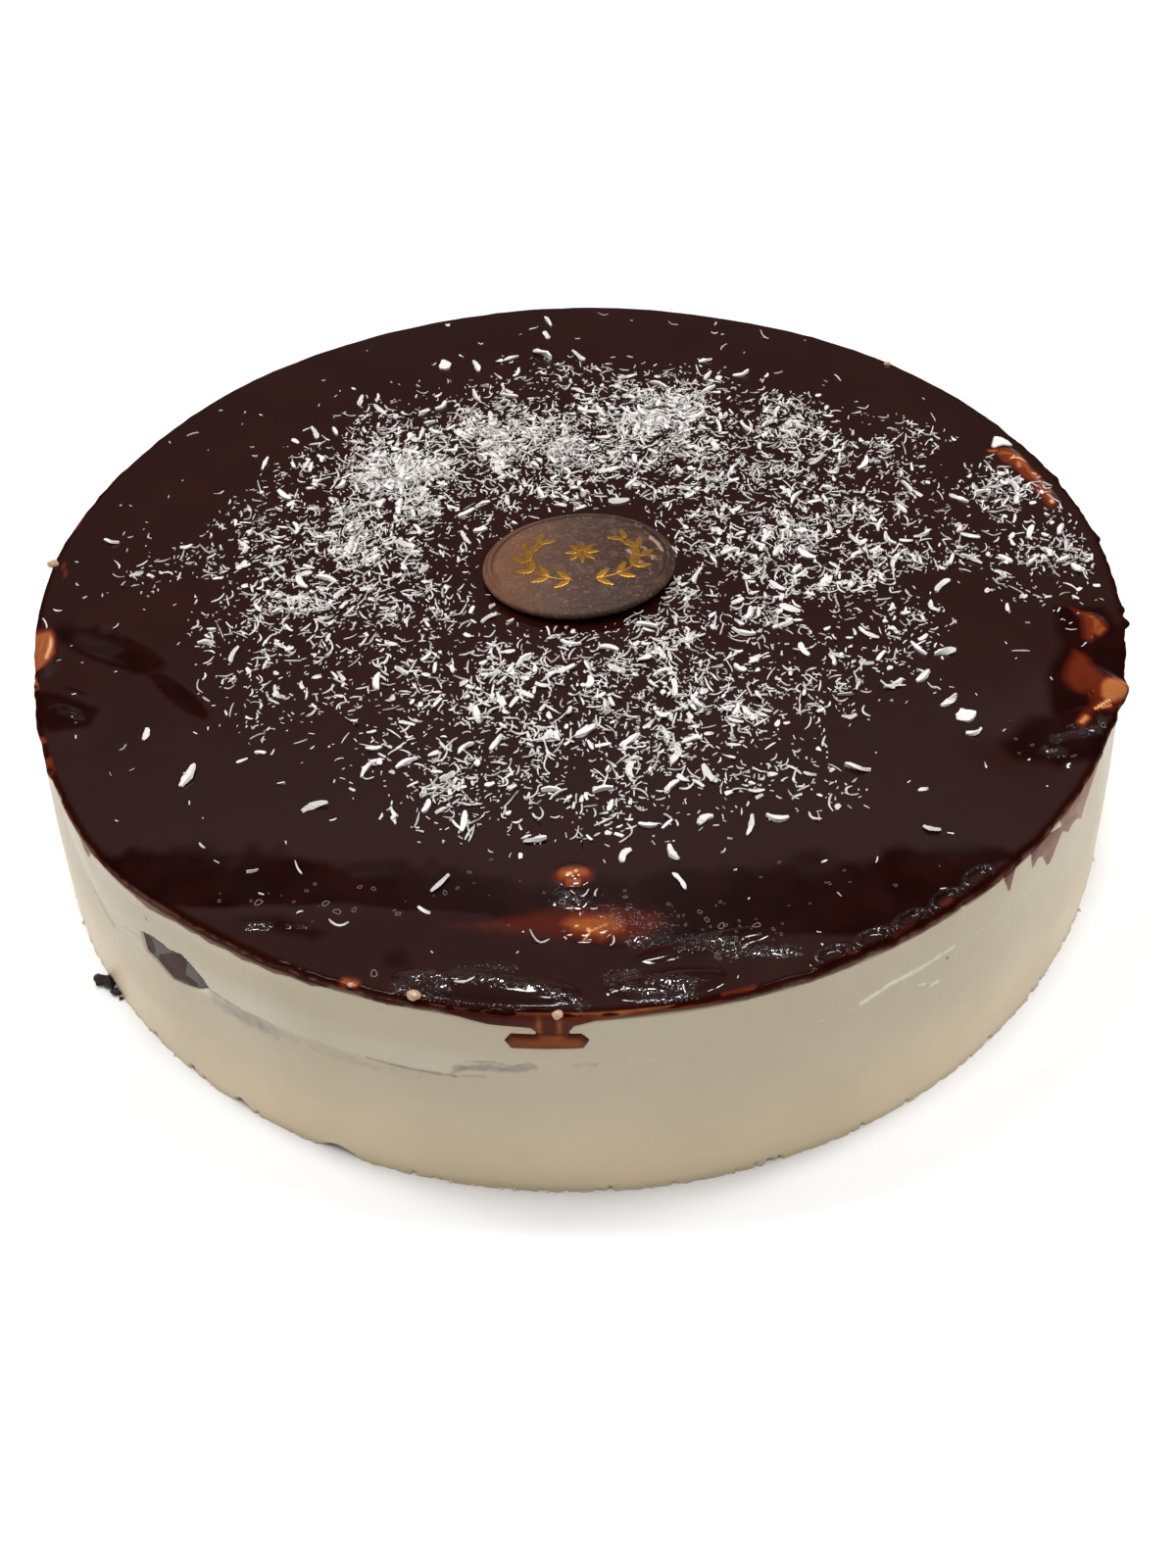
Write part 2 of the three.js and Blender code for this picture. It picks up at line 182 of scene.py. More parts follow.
def noise(x, y, z, size, seed):
    """Smooth noise from -1 to 1 whose lumps have the given size."""
    cells = [np.asarray(v, float) / size for v in np.broadcast_arrays(x, y, z)]
    low = [np.floor(v).astype(np.int64) for v in cells]
    part = [smooth_step(v - l, 0, 1) for v, l in zip(cells, low)]
    total = 0
    for corner in itertools.product((0, 1), repeat=3):
        weight = 1
        for axis in range(3):
            weight = weight * (part[axis] if corner[axis] else 1 - part[axis])
        total = total + weight * cell_value(*(l + c for l, c in zip(low, corner)), seed)
    return total


def feature_distance(x, y, feature):
    """Distance from a feature's middle as a part of its half sizes."""
    centre_x, centre_y, along, across, turn = feature[:5]
    c, s = math.cos(math.radians(turn)), math.sin(math.radians(turn))
    dx, dy = x - centre_x, y - centre_y
    return np.hypot((dx * c + dy * s) / along, (dy * c - dx * s) / across)


def within(x, y, feature, outer, inner):
    """From 0 outside a feature to 1 inside it, between two parts of its half sizes."""
    return smooth_step(-feature_distance(x, y, feature), -outer, -inner)


def segment_distance(x, y, start, end):
    (x1, y1), (x2, y2) = start, end
    dx, dy = x2 - x1, y2 - y1
    part = np.clip(((x - x1) * dx + (y - y1) * dy) / max(dx * dx + dy * dy, 1e-9), 0, 1)
    return np.hypot(x - x1 - part * dx, y - y1 - part * dy)


def path_distance(x, y, path):
    ends = path[1:] or path
    return np.min([segment_distance(x, y, a, b) for a, b in zip(path, ends)], 0)


def signed_distance(x, y, outline):
    """Distance to an outline, above 0 inside it."""
    best = path_distance(x, y, outline + outline[:1])
    inside = np.zeros(np.shape(best), bool)
    for (x1, y1), (x2, y2) in zip(outline, outline[1:] + outline[:1]):
        if y1 != y2:
            inside ^= ((y1 > y) != (y2 > y)) & (x < (x2 - x1) * (y - y1) / (y2 - y1) + x1)
    return np.where(inside, best, -best)


# How far outside its outline a patch is still looked at, more than any softness.
PATCH_REACH = 4


def painted(x, y, patches, strokes):
    """Highest level of soft-edged outlines and strokes at these points."""
    level = np.zeros(np.broadcast(x, y).shape)
    x, y = np.broadcast_arrays(x, y)

    def near(points, reach):
        (low_x, low_y), (high_x, high_y) = np.min(points, 0) - reach, np.max(points, 0) + reach
        return (x > low_x) & (x < high_x) & (y > low_y) & (y < high_y)

    for strength, softness, outline in patches:
        part = near(outline, PATCH_REACH)
        inside = signed_distance(x[part], y[part], outline)
        level[part] = np.maximum(level[part], strength * smooth_step(inside, -softness, softness))
    for strength, width, path in strokes:
        part = near(path, 3 * width)
        level[part] = np.maximum(level[part], strength * bell(path_distance(x[part], y[part], path), width))
    return level


# ---------------------------------------------------------------- the cake's form
def rim_offset(bearing):
    return sum(offset * bell(away_from(bearing, at), spread) for at, spread, offset in RIM_BULGES)


def side_radius(bearing, z):
    rise = z / CAKE_HEIGHT
    cone = BASE_RADIUS + (RIM_RADIUS - BASE_RADIUS) * rise
    return cone + SIDE_BELLY * np.sin(np.pi * rise) + rise * rim_offset(bearing)


def glaze_level(x, y):
    """Height of the glaze without its lumps and dents."""
    near, far, drop = FRONT_SLUMP
    level = CAKE_HEIGHT - drop * smooth_step(-y, near, far)
    return level + sum(f[5] * bell(feature_distance(x, y, f)) for f in GLAZE_SWELLS)


def chain_cells():
    """The small lumps of the string, as features."""
    for bearing in np.linspace(*CHAIN_BEARINGS, CHAIN_COUNT):
        along, across, height = CHAIN_CELL
        yield (*at_bearing(CHAIN_RADIUS, bearing), along, across, bearing + 90, height)


# Strings of small sharp puckers on top: strength, width and path.
PUCKERS = [
    (1, 1.3, [(-35, -119.6), (-31, -117.8), (-27, -119)]),
    (0.9, 0.9, [(-27, -119.4), (-20, -119.2), (-16, -120.2)]),
    (0.9, 0.7, [(-16, -120.2), (-9, -121.6), (-4, -123.6), (-1, -125.6)]),
    (0.7, 0.8, [(-31, -121.4), (-26, -121.5)]), (0.35, 1.0, [(-24, -116), (-14, -116.4)]),
    (0.45, 0.6, [(-34, -121.6), (-22, -124.8), (-8, -126.4)]), (0.8, 1.5, [(4.4, -120), (8, -119)]),
    (0.75, 0.9, [(10.5, -120.6), (19, -122), (18, -124.4), (9, -124), (7, -121.5)]),
    (0.8, 1.5, [(8.5, -110.6), (14, -111.2)]), (0.8, 1.6, [(17, -112), (22, -111.6), (27, -114)]),
    (0.9, 1.1, [(30, -114.4), (38, -115)]), (0.7, 2.0, [(-4.5, -100.6), (-1.5, -101.6)]),
    (0.3, 3, [(3, -104.5), (14, -108)]), (1, 1.2, [(100, -63), (105, -62.5), (109, -61)]),
    (1, 0.9, [(110.6, -59.4), (113.6, -57.4), (115.6, -55.4)]), (0.8, 0.8, [(104, -60.4), (106.6, -61)]),
    (0.8, 1.2, [(97, -66), (99.4, -67.4)]), (0.9, 1.0, [(110.5, -58), (112.5, -60.5)]),
    (0.9, 0.7, [(-64, -104.3), (-60.5, -104.2)]), (0.5, 0.4, [(-57, -104.6), (-53, -105)]),
    (0.4, 1.0, [(-110, -43.6), (-108.4, -45)]),
]


def pucker_amount(x, y):
    amount = painted(x, y, [], PUCKERS)
    for cell in chain_cells():
        amount = np.maximum(amount, 0.6 * bell(feature_distance(x, y, cell) - 0.85, 0.14))
    return amount


def glaze_top(x, y, fine=True):
    """Height of the glaze with its lumps, dents and puckers."""
    top = glaze_level(x, y)
    for lump in FRONT_LUMPS + SIDE_LUMPS:
        top = top + lump[5] * np.clip(1 - feature_distance(x, y, lump) ** 2, 0, 1) ** 0.8
    for cell in chain_cells():
        distance = feature_distance(x, y, cell)
        top = top + cell[5] * (0.9 * bell(distance - 0.85, 0.2) + 0.2 * bell(distance, 0.6))
    for dent in KNIFE_DENTS:
        top = top - 0.6 * dent[5] * within(x, y, dent, 1.1, 0.2)
    top = top + 0.05 * noise(x, y, 0, 30, 3)
    if fine:
        wide, narrow = [(1 - np.abs(noise(x, y, 0, size, seed))) ** 4 for size, seed in ((2.6, 1), (1.3, 2))]
        top = top + pucker_amount(x, y) * (0.5 * wide + 0.35 * narrow)
    return top


# ---------------------------------------------------------------- building meshes
def mesh_object(name, points, faces, material, values=None, smooth=True):
    """A mesh from points in millimetres, face arrays of any width, and named values, one or one a point."""
    faces = [np.asarray(f, np.int32) for f in faces if len(f)]
    corners = np.concatenate([f.ravel() for f in faces])
    widths = np.concatenate([np.full(len(f), f.shape[1]) for f in faces])
    mesh = bpy.data.meshes.new(name)
    mesh.vertices.add(len(points))
    mesh.vertices.foreach_set("co", (np.asarray(points) * MM).astype(np.float32).ravel())
    mesh.loops.add(len(corners))
    mesh.loops.foreach_set("vertex_index", corners)
    mesh.polygons.add(len(widths))
    mesh.polygons.foreach_set("loop_start", (np.cumsum(widths) - widths).astype(np.int32))
    mesh.update(calc_edges=True)
    mesh.validate()
    mesh.polygons.foreach_set("use_smooth", [smooth] * len(mesh.polygons))
    for key, value in (values or {}).items():
        layer = mesh.attributes.new(key, "FLOAT", "POINT")
        layer.data.foreach_set("value", np.full(len(points), value, np.float32))
    mesh.materials.append(material)
    return placed(name, mesh)


def ring_faces(rows, columns):
    """Quads of a tube of points, rows by columns, closed round its columns."""
    row, column = np.meshgrid(np.arange(rows - 1), np.arange(columns), indexing="ij")
    after = (column + 1) % columns
    return np.stack([row * columns + column, row * columns + after,
                     (row + 1) * columns + after, (row + 1) * columns + column], -1).reshape(-1, 4)


def repeated(faces, count, size):
    """The same faces for a count of parts that have as many points each as the size."""
    faces = np.asarray(faces)
    return (faces + size * np.arange(count)[:, None, None]).reshape(-1, faces.shape[1])


def revolved_object(name, rings, poles, material, values):
    """A closed body from rings of points, bottom first, and its two pole points."""
    rows, columns = rings.shape[:2]
    points = np.concatenate([rings.reshape(-1, 3), np.array(poles, float)])
    start = np.arange(columns)
    after = (start + 1) % columns
    last = (rows - 1) * columns
    low = np.stack([np.full(columns, rows * columns), after, start], -1)
    high = np.stack([np.full(columns, rows * columns + 1), last + start, last + after], -1)
    values = {k: np.concatenate([v.ravel(), [0, 0]]) for k, v in values.items()}
    return mesh_object(name, points, [ring_faces(rows, columns), low, high], material, values)


def outline_patch(outline, cell):
    """A fine grid over an outline, its edge moved onto the outline: s, z, distance inside and faces."""
    low, high = np.min(outline, 0) - cell, np.max(outline, 0) + 2 * cell
    s, z = np.meshgrid(np.arange(low[0], high[0], cell), np.arange(low[1], high[1], cell), indexing="ij")
    inside = signed_distance(s, z, outline)
    step = cell / 10
    slope_s = (signed_distance(s + step, z, outline) - signed_distance(s - step, z, outline)) / (2 * step)
    slope_z = (signed_distance(s, z + step, outline) - signed_distance(s, z - step, outline)) / (2 * step)
    near = np.abs(inside) < 0.72 * cell
    s = np.where(near, s - inside * slope_s, s)
    z = np.where(near, z - inside * slope_z, z)
    depth = np.where(near, 0, inside)
    kept = depth >= 0
    index = np.cumsum(kept.ravel()).reshape(kept.shape) - 1

    def corners(grid):
        return [grid[:-1, :-1], grid[1:, :-1], grid[1:, 1:], grid[:-1, 1:]]

    index, there, edge = corners(index), corners(kept), corners(depth == 0)
    faces = []
    for chosen in ([0, 1, 2, 3], [1, 2, 3], [0, 2, 3], [0, 1, 3], [0, 1, 2]):
        whole = np.logical_and.reduce([there[k] for k in chosen])
        whole &= ~np.logical_and.reduce([edge[k] for k in chosen])
        for k in set(range(4)) - set(chosen):
            whole &= ~there[k]
        faces.append(np.stack([index[k][whole] for k in chosen], -1))
    used = np.unique(np.concatenate([f.ravel() for f in faces]))
    renumber = np.zeros(kept.sum(), int)
    renumber[used] = np.arange(len(used))
    return s[kept][used], z[kept][used], depth[kept][used], [renumber[f] for f in faces if len(f)]


def film_shape(patch, place, front, back):
    """Points, faces and the patch point behind each, of a thin closed body over a patch."""
    s, z, depth, faces = patch
    inner = depth > 0
    behind = np.where(inner, len(s) + np.cumsum(inner) - 1, np.arange(len(s)))
    points = np.concatenate([place(s, z, front(s, z, depth)), place(s, z, back(s, z, depth))[inner]])
    source = np.concatenate([np.arange(len(s)), np.flatnonzero(inner)])
    return points, faces + [behind[f][:, ::-1] for f in faces], source


def film_object(name, patch, place, front, back, material, values):
    points, faces, source = film_shape(patch, place, front, back)
    values = {k: v(*patch[:3])[source] for k, v in values.items()}
    return mesh_object(name, points, faces, material, values)


def on_side(centre):
    """Places arc length, height and an outward offset on the cake's side round a bearing."""
    def place(s, z, offset):
        bearing = centre + s / DEGREE_LENGTH
        x, y = at_bearing(side_radius(bearing, z) + offset, bearing)
        return np.stack([x, y, z + 0 * s], -1)
    return place


# ---------------------------------------------------------------- materials
def srgb(red, green, blue):
    """A picture colour of 0 to 255 as the linear colour that shaders take."""
    parts = [c / 255 for c in (red, green, blue)]
    return (*[p / 12.92 if p <= 0.04045 else ((p + 0.055) / 1.055) ** 2.4 for p in parts], 1)


def set_stops(ramp, stops):
    """Gives a colour ramp node its colours at places from 0 to 1."""
    elements = ramp.color_ramp.elements
    while len(elements) < len(stops):
        elements.new(0.5)
    for element, (place, colour) in zip(elements, stops):
        element.position = place
        element.color = colour


class Look:
    """A node material that is built up call by call."""

    def __init__(self, name, **surface):
        self.material = bpy.data.materials.new(name)
        self.material.use_nodes = True
        self.tree = self.material.node_tree
        self.shader = self.tree.nodes["Principled BSDF"]
        self.place = self.node("ShaderNodeTexCoord").outputs["Object"]
        for key, value in surface.items():
            self.set(key.replace("_", " "), value)

    def node(self, kind, inputs=None, **settings):
        made = self.tree.nodes.new(kind)
        for key, value in settings.items():
            setattr(made, key, value)
        for key, value in (inputs or {}).items():
            self.connect(made.inputs[key], value)
        return made

    def connect(self, socket, value):
        if isinstance(value, bpy.types.NodeSocket):
            self.tree.links.new(value, socket)
        else:
            socket.default_value = value

    def set(self, key, value):
        self.connect(self.shader.inputs[key], value)

    def noise(self, size, detail=3.0, distortion=0.0):
        """Noise from 0 to 1 with lumps of a size in millimetres."""
        inputs = {"Vector": self.place, "Scale": 1 / (size * MM), "Detail": detail, "Distortion": distortion}
        return self.node("ShaderNodeTexNoise", inputs).outputs["Fac"]

    def along(self, axis):
        """Place along an axis, in metres."""
        return self.node("ShaderNodeSeparateXYZ", {"Vector": self.place}).outputs[axis]

    def value(self, name):
        return self.node("ShaderNodeAttribute", attribute_name=name).outputs["Fac"]

    def maths(self, operation, *values):
        return self.node("ShaderNodeMath", dict(enumerate(values)), operation=operation).outputs[0]

    def jittered(self, value, size, amount):
        """A value with noise of a size around it."""
        shift = self.maths("MULTIPLY", self.maths("SUBTRACT", self.noise(size), 0.5), 2 * amount)
        return self.maths("ADD", value, shift)

    def between(self, value, low, high, to_low=0.0, to_high=1.0):
        inputs = {"Value": value, "From Min": low, "From Max": high, "To Min": to_low, "To Max": to_high}
        made = self.node("ShaderNodeMapRange", inputs, interpolation_type="SMOOTHSTEP")
        return made.outputs["Result"]

    def ramp(self, value, *stops):
        """Picture colours at places from 0 to 1."""
        made = self.node("ShaderNodeValToRGB", {"Fac": value})
        set_stops(made, [(place, srgb(*colour)) for place, colour in stops])
        return made.outputs["Color"]

    def mix(self, part, first, second):
        made = self.node("ShaderNodeMix", {"Factor": part}, data_type="RGBA")
        self.connect(made.inputs[6], first)
        self.connect(made.inputs[7], second)
        return made.outputs[2]

    def stained(self, base, value, low, high, share, colour):
        """A picture colour laid over a base, up to a share of it as a value goes from low to high."""
        return self.mix(self.between(value, low, high, 0, share), base, srgb(*colour))

    def bump(self, height, distance):
        inputs = {"Height": height, "Distance": distance * MM, "Strength": 1.0}
        self.set("Normal", self.node("ShaderNodeBump", inputs).outputs["Normal"])


# Marks on the cream: name, size and amount of the noise round it, its low and high end, share and colour.
CREAM_MARKS = [
    # pale: painted highlight on the ledge above the fold and high on the left side.
    ("pale", 4, 0.15, 0.1, 1.0, 0.6, (226, 216, 200)),
    # The next mark is painted shade, along and under the folds and round the shard.
    ("painted_shade", 2, 0.35, 0.2, 1.0, 0.8, (126, 112, 106)),
    # line: dark lines, partly painted shade in the creases and partly the seam between the layers.
    ("line", 1.6, 0.3, 0.25, 1.0, 0.8, (124, 98, 90)),
    # white: painted highlights where fine scratches catch the light.
    ("white", 1.2, 0.45, 0.35, 1.0, 0.6, (250, 244, 232)),
    # The last mark is painted shade in the torn notches at the foot.
    ("notch_shade", 1.0, 0.3, 0.3, 0.7, 0.85, (92, 82, 54)),
]


def cream_look():
    look = Look("cream", Coat_Roughness=0.25)
    height = look.along("Z")
    cloud = look.noise(24)
    base = look.mix(look.between(height, 0.008, 0.036), srgb(216, 195, 159), srgb(200, 187, 159))
    base = look.stained(base, cloud, 0.35, 0.75, 0.3, (190, 178, 152))
    base = look.stained(base, look.noise(5), 0.45, 0.8, 0.12, (224, 211, 185))
    # Painted shade: the lowest few millimetres darken where the side meets the floor.
    base = look.stained(base, height, 0.0035, 0.0, 0.4, (176, 164, 126))
    for name, size, amount, low, high, share, colour in CREAM_MARKS:
        base = look.stained(base, look.jittered(look.value(name), size, amount), low, high, share, colour)
    tone = look.ramp(look.jittered(look.value("tone"), 3, 0.25), (0.1, (178, 146, 120)),
                     (0.45, (146, 105, 82)), (0.75, (100, 62, 50)), (1, (56, 30, 26)))
    covered = look.between(look.jittered(look.value("film"), 1.0, 0.22), -0.1, 0.35, 0, 0.94)
    look.set("Base Color", look.mix(covered, base, tone))
    look.set("Coat Weight", look.between(look.value("film"), -0.3, 0.2, 0.12, 0.0))
    look.set("Specular IOR Level", look.between(look.value("film"), -0.3, 0.2, 0.3, 0.1))
    look.set("Roughness", look.between(cloud, 0.3, 0.7, 0.36, 0.5))
    look.bump(look.noise(2.2), 0.06)
    return look.material


def glaze_look():
    look = Look("glaze")
    thin_and_highlight = look.jittered(look.value("thin_and_highlight"), 2.2, 0.04)
    main = look.mix(look.between(look.noise(26), 0.4, 0.7, 0, 0.4), srgb(34, 9, 5), srgb(41, 14, 9))
    red = look.mix(look.between(look.noise(9), 0.35, 0.7), srgb(23, 6, 4), srgb(32, 9, 7))
    # Painted reflection: the front strip, the matt spots and the dents turn darker and redder, for the dark
    # they mirror.
    dark = look.mix(look.value("dark_reflection_band"), main, red)
    # The top of this ramp is painted highlight, light orange to near white.
    warm = look.ramp(thin_and_highlight, (0.1, (40, 10, 6)), (0.26, (74, 23, 12)), (0.42, (106, 41, 21)),
                     (0.6, (142, 74, 34)), (0.8, (194, 130, 82)), (1, (246, 206, 164)))
    base = look.mix(look.between(thin_and_highlight, 0.03, 0.22), dark, warm)
    brown = look.mix(look.between(look.noise(2.4), 0.35, 0.65), srgb(62, 30, 25), srgb(112, 70, 60))
    base = look.mix(look.value("side"), base, brown)
    cream = look.between(look.jittered(look.value("smear"), 1.2, 0.3), 0.4, 0.6)
    look.set("Base Color", look.mix(cream, base, srgb(150, 124, 106)))
    look.set("Roughness", look.between(look.noise(30), 0.3, 0.7, 0.04, 0.08))
    look.set("Specular IOR Level", look.maths("MULTIPLY", look.value("gloss"), 0.5))
    folds = look.between(look.noise(1.0, 2), 0.5, 0.62)
    look.bump(look.maths("ADD", look.maths("MULTIPLY", look.value("pucker"), folds),
                         look.maths("MULTIPLY", look.noise(12), 0.2)), 0.3)
    return look.material


def drip_look():
    look = Look("drip", Roughness=0.2, Specular_IOR_Level=0.06)
    tone = look.jittered(look.value("pale"), 3.5, 0.15)
    # The palest end of this ramp is painted highlight.
    look.set("Base Color", look.ramp(tone, (0, (56, 20, 15)), (0.28, (86, 36, 20)), (0.5, (118, 60, 26)),
                                     (0.72, (154, 84, 38)), (1, (232, 190, 150))))
    look.bump(look.noise(3.5), 0.08)
    return look.material


def coconut_look():
    look = Look("coconut", Roughness=0.5)
    colour = look.ramp(look.value("tint"), (0, (150, 138, 132)), (0.3, (192, 185, 180)), (1, (234, 231, 228)))
    look.set("Base Color", look.stained(colour, look.noise(0.6), 0.35, 0.75, 0.2, (196, 187, 181)))
    look.bump(look.noise(0.4, 2), 0.06)
    return look.material


def plaque_look():
    look = Look("plaque", Specular_IOR_Level=0.16)
    # Lighter on the left, partly bloom on the chocolate and partly painted light; darker on the right as
    # painted shade.
    across = look.jittered(look.between(look.along("X"), -0.021, 0.022), 8, 0.16)
    colour = look.ramp(across, (0.05, (104, 69, 50)), (0.3, (84, 61, 50)), (0.6, (70, 51, 43)),
                       (0.95, (62, 44, 36)))
    colour = look.stained(colour, look.noise(3, 4), 0.48, 0.7, 0.4, (112, 86, 72))
    colour = look.stained(colour, look.noise(0.8), 0.56, 0.7, 0.4, (142, 112, 96))
    # Scuffs: worn marks painted lighter, partly as highlights.
    scuff_highlight = look.jittered(look.value("scuff_highlight"), 1.0, 0.6)
    colour = look.stained(colour, scuff_highlight, 0.5, 0.9, 0.7, (176, 144, 126))
    # Painted shade: a dark line in the moulded channel near the rim.
    colour = look.mix(look.maths("MULTIPLY", look.value("groove_shade"), 0.8), colour, srgb(28, 18, 16))
    look.set("Base Color", colour)
    look.set("Roughness", look.between(look.jittered(look.value("worn"), 3, 0.3), 0.2, 0.8, 0.46, 0.2))
    waves = look.maths("MULTIPLY", look.noise(5, 3, 1.0), 1.6)
    look.bump(look.maths("ADD", look.noise(1.3, 4, 1.5), waves), 0.2)
    return look.material


def gold_look():
    look = Look("gold", Roughness=0.3, Metallic=0.75)
    look.set("Base Color", look.mix(look.noise(3), srgb(206, 152, 62), srgb(150, 100, 30)))
    look.bump(look.noise(0.7, 2), 0.05)
    return look.material


def shard_look():
    look = Look("shard", Roughness=0.4, Specular_IOR_Level=0.04)
    # Painted shade: all but the bare parts of the shard take the dim colour of the gap in the side.
    gap_shade = look.between(look.jittered(look.value("gap_shade"), 1.2, 0.2), 0.3, 0.7)
    brown = look.mix(look.noise(3), srgb(68, 46, 40), srgb(82, 58, 50))
    painted_shade = look.mix(look.noise(2.5), srgb(90, 87, 84), srgb(120, 115, 107))
    look.set("Base Color", look.mix(gap_shade, brown, painted_shade))
    look.bump(look.noise(1.5), 0.06)
    return look.material


def crumb_look():
    look = Look("crumb", Roughness=0.6)
    look.set("Base Color", look.mix(look.noise(1.2), srgb(16, 8, 6), srgb(34, 20, 15)))
    look.bump(look.noise(0.8), 0.2)
    return look.material


# ---------------------------------------------------------------- cream body
CREAM_TOP = GLAZE_BOTTOM - 0.3
# Steps of the side's mesh: each start and the step from there on. The back is coarser.
SIDE_BEARINGS = [(-164, 0.18), (-20, 1.2)]
SIDE_ROWS = [(0, 0.3), (3, 0.9), (30, 0.42)]
FOOT_TEAR = 0.2
FILM_REACH = 1.5

# Brown film that the glaze left on the cream: tone and outline.
FILMS = [
    (0.45, [(-152, 56), (-150, 52.6), (-146, 52), (-143.4, 51), (-142.7, 48.9), (-141.6, 48.5),
        (-140.9, 51.2), (-139, 52), (-136.4, 51.6), (-134, 51.2), (-132, 50.2), (-130, 50.8),
        (-128.4, 51.4), (-126.6, 51), (-125, 52), (-124, 56)]),
    (0.5, [(-126, 51.6), (-124.6, 50.8), (-122.5, 51.4), (-121, 50.7), (-119.5, 51.2), (-117.6, 50.8),
        (-116, 51.6), (-114, 51.2), (-112, 52.4), (-112, 56), (-126, 56)]),
    (0.5, [(-110.5, 52.4), (-107, 51.7), (-104, 52.4), (-104, 56), (-110.5, 56)]),
    (0.55, [(-70, 54.4), (-66, 53.6), (-63.5, 53.4), (-61, 54.2), (-61, 57), (-70, 57)]),
    (0.55, [(-50.7, 56), (-50.3, 51.5), (-49.5, 47.2), (-49.1, 47), (-48.9, 50), (-48.6, 52.2),
        (-46.6, 52.6), (-46, 56)]),
    (0.5, [(-46.6, 56), (-46.2, 50), (-45.8, 47), (-44.9, 48.6), (-44.2, 47.8), (-43, 43), (-42.4, 42.8),
        (-41.4, 45.6), (-40, 48.4), (-39, 46), (-38, 45.6), (-37.4, 47)]),
    (0.35, [(-42, 56), (-40.2, 47.6), (-39, 45), (-38, 46), (-37, 45.2), (-35.6, 42.6), (-34.8, 45.8),
        (-33.6, 47.8), (-31, 52), (-30, 56)]),
    (0.2, [(-142.8, 52), (-141, 51), (-140, 53), (-134, 53.2), (-134, 55), (-142.8, 55)]),
    (0.85, [(-133, 46.9), (-132.6, 47), (-132.3, 46.2), (-132.7, 45.9)]),
    (0.9, [(-57.4, 41), (-57, 41.2), (-56.8, 40.4), (-57.1, 40.2)]),
]
# The fold that runs along the side: bearing, height and how strong it is.
FOLD = [
    (-160, 56, 0), (-152, 53, 0.4), (-148, 47.5, 0.5), (-144.4, 41.4, 0.7), (-140.5, 37.6, 0.6),
    (-136, 36, 0.4), (-132, 34, 0.4), (-126, 34.6, 0.7), (-120, 36.2, 0.8), (-114, 35.8, 0.45),
    (-108, 35.4, 0.5), (-102, 36, 0.6), (-97, 38.5, 0.3), (-92, 40, 0.2), (-84, 40.4, 0.1), (-70, 41, 0),
]
# Creases as dark lines, partly painted shade and partly the layers' seam; painted shade; scratches painted
# white as highlights: strength, width and path.
CREASES = [
    (0.2, 1.4, [(-144.7, 43), (-143.8, 39.8)]), (0.5, 0.6, [(-137.2, 36.4), (-136.4, 37.4), (-134, 39.2)]),
    (0.9, 0.35, [(-126, 37), (-124, 36.5), (-122, 36.2)]), (0.5, 0.35, [(-121.6, 36), (-118.4, 35.6)]),
    (0.4, 0.5, [(-116, 35.7), (-110, 35.2)]), (0.75, 0.7, [(-109.4, 35.4), (-105, 35.1), (-101.6, 35.3)]),
    (0.6, 0.9, [(-101.8, 36.3), (-101, 37.6), (-100, 39), (-98.6, 39.6)]),
    (0.6, 0.8, [(-101, 35.6), (-99, 36.2)]),
    (0.55, 0.7, [(-100.6, 40), (-98.4, 40.6), (-96.6, 39.7), (-95.3, 40.9), (-94.7, 40)]),
    (0.3, 0.7, [(-91.8, 39.8), (-90.6, 40.9), (-89.6, 40.8)]), (0.3, 0.5, [(-42, 41), (-35, 41.2)]),
    (0.3, 0.5, [(-50.4, 41.4), (-48.8, 40.6)]),
]
SHADES = [
    (0.35, 5, [(-150, 48), (-149, 41)]), (0.4, 3.2, [(-146.4, 42), (-143.6, 38)]),
    (0.6, 2.2, [(-143, 38.4), (-139.6, 33)]), (0.3, 2.0, [(-134.5, 32.5), (-131, 30), (-127, 31.4)]),
    (0.6, 1.8, [(-125, 35.6), (-120, 35)]), (0.65, 3.2, [(-124.6, 34), (-119, 33.4)]),
    (0.4, 2.6, [(-119, 34), (-111, 33.4), (-104, 33.8)]),
    (0.75, 1.3, [(-101.4, 38), (-99, 38.6), (-96.6, 38.9), (-95, 39.6)]),
    (0.5, 1.2, [(-91.6, 40.2), (-89.8, 40.4)]), (0.4, 1.6, [(-137.6, 38.6), (-134.4, 38)]),
    (0.25, 1.4, [(-83, 29), (-81, 28.4)]),
]
# The scratch marks are drawn white, as painted highlights where fine scratches catch the light.
SCRATCH_HIGHLIGHTS = [
    (0.7, 0.3, [(-87, 40.4), (-82, 40.2)]), (0.6, 0.35, [(-71, 40.6), (-66, 40.5), (-64.6, 41.6)]),
    (0.9, 1.0, [(-66.4, 41), (-63.4, 42.6), (-60, 42.4)]), (0.8, 1.0, [(-60, 42.6), (-56.4, 42.9)]),
    (0.6, 0.5, [(-56, 42), (-50.4, 42)]), (0.6, 0.4, [(-48, 42), (-45, 41.4)]),
    (0.9, 0.5, [(-60.2, 37.8), (-59.6, 37)]), (0.9, 0.7, [(-58.8, 35.6), (-58, 35.4)]),
    (0.6, 0.6, [(-132.6, 54), (-129, 53.4)]), (0.8, 0.4, [(-124.6, 53.4), (-122.4, 53)]),
    (0.9, 0.5, [(-113.6, 54), (-112, 52.6), (-110.6, 53.2)]), (0.9, 0.5, [(-56.6, 53), (-55.4, 52.2)]),
]
# Where the foot is torn most: bearing and spread.
WIDE_NOTCHES = [(-113.8, 1.6), (-124.6, 0.8), (-131, 0.4), (-136.7, 0.4)]


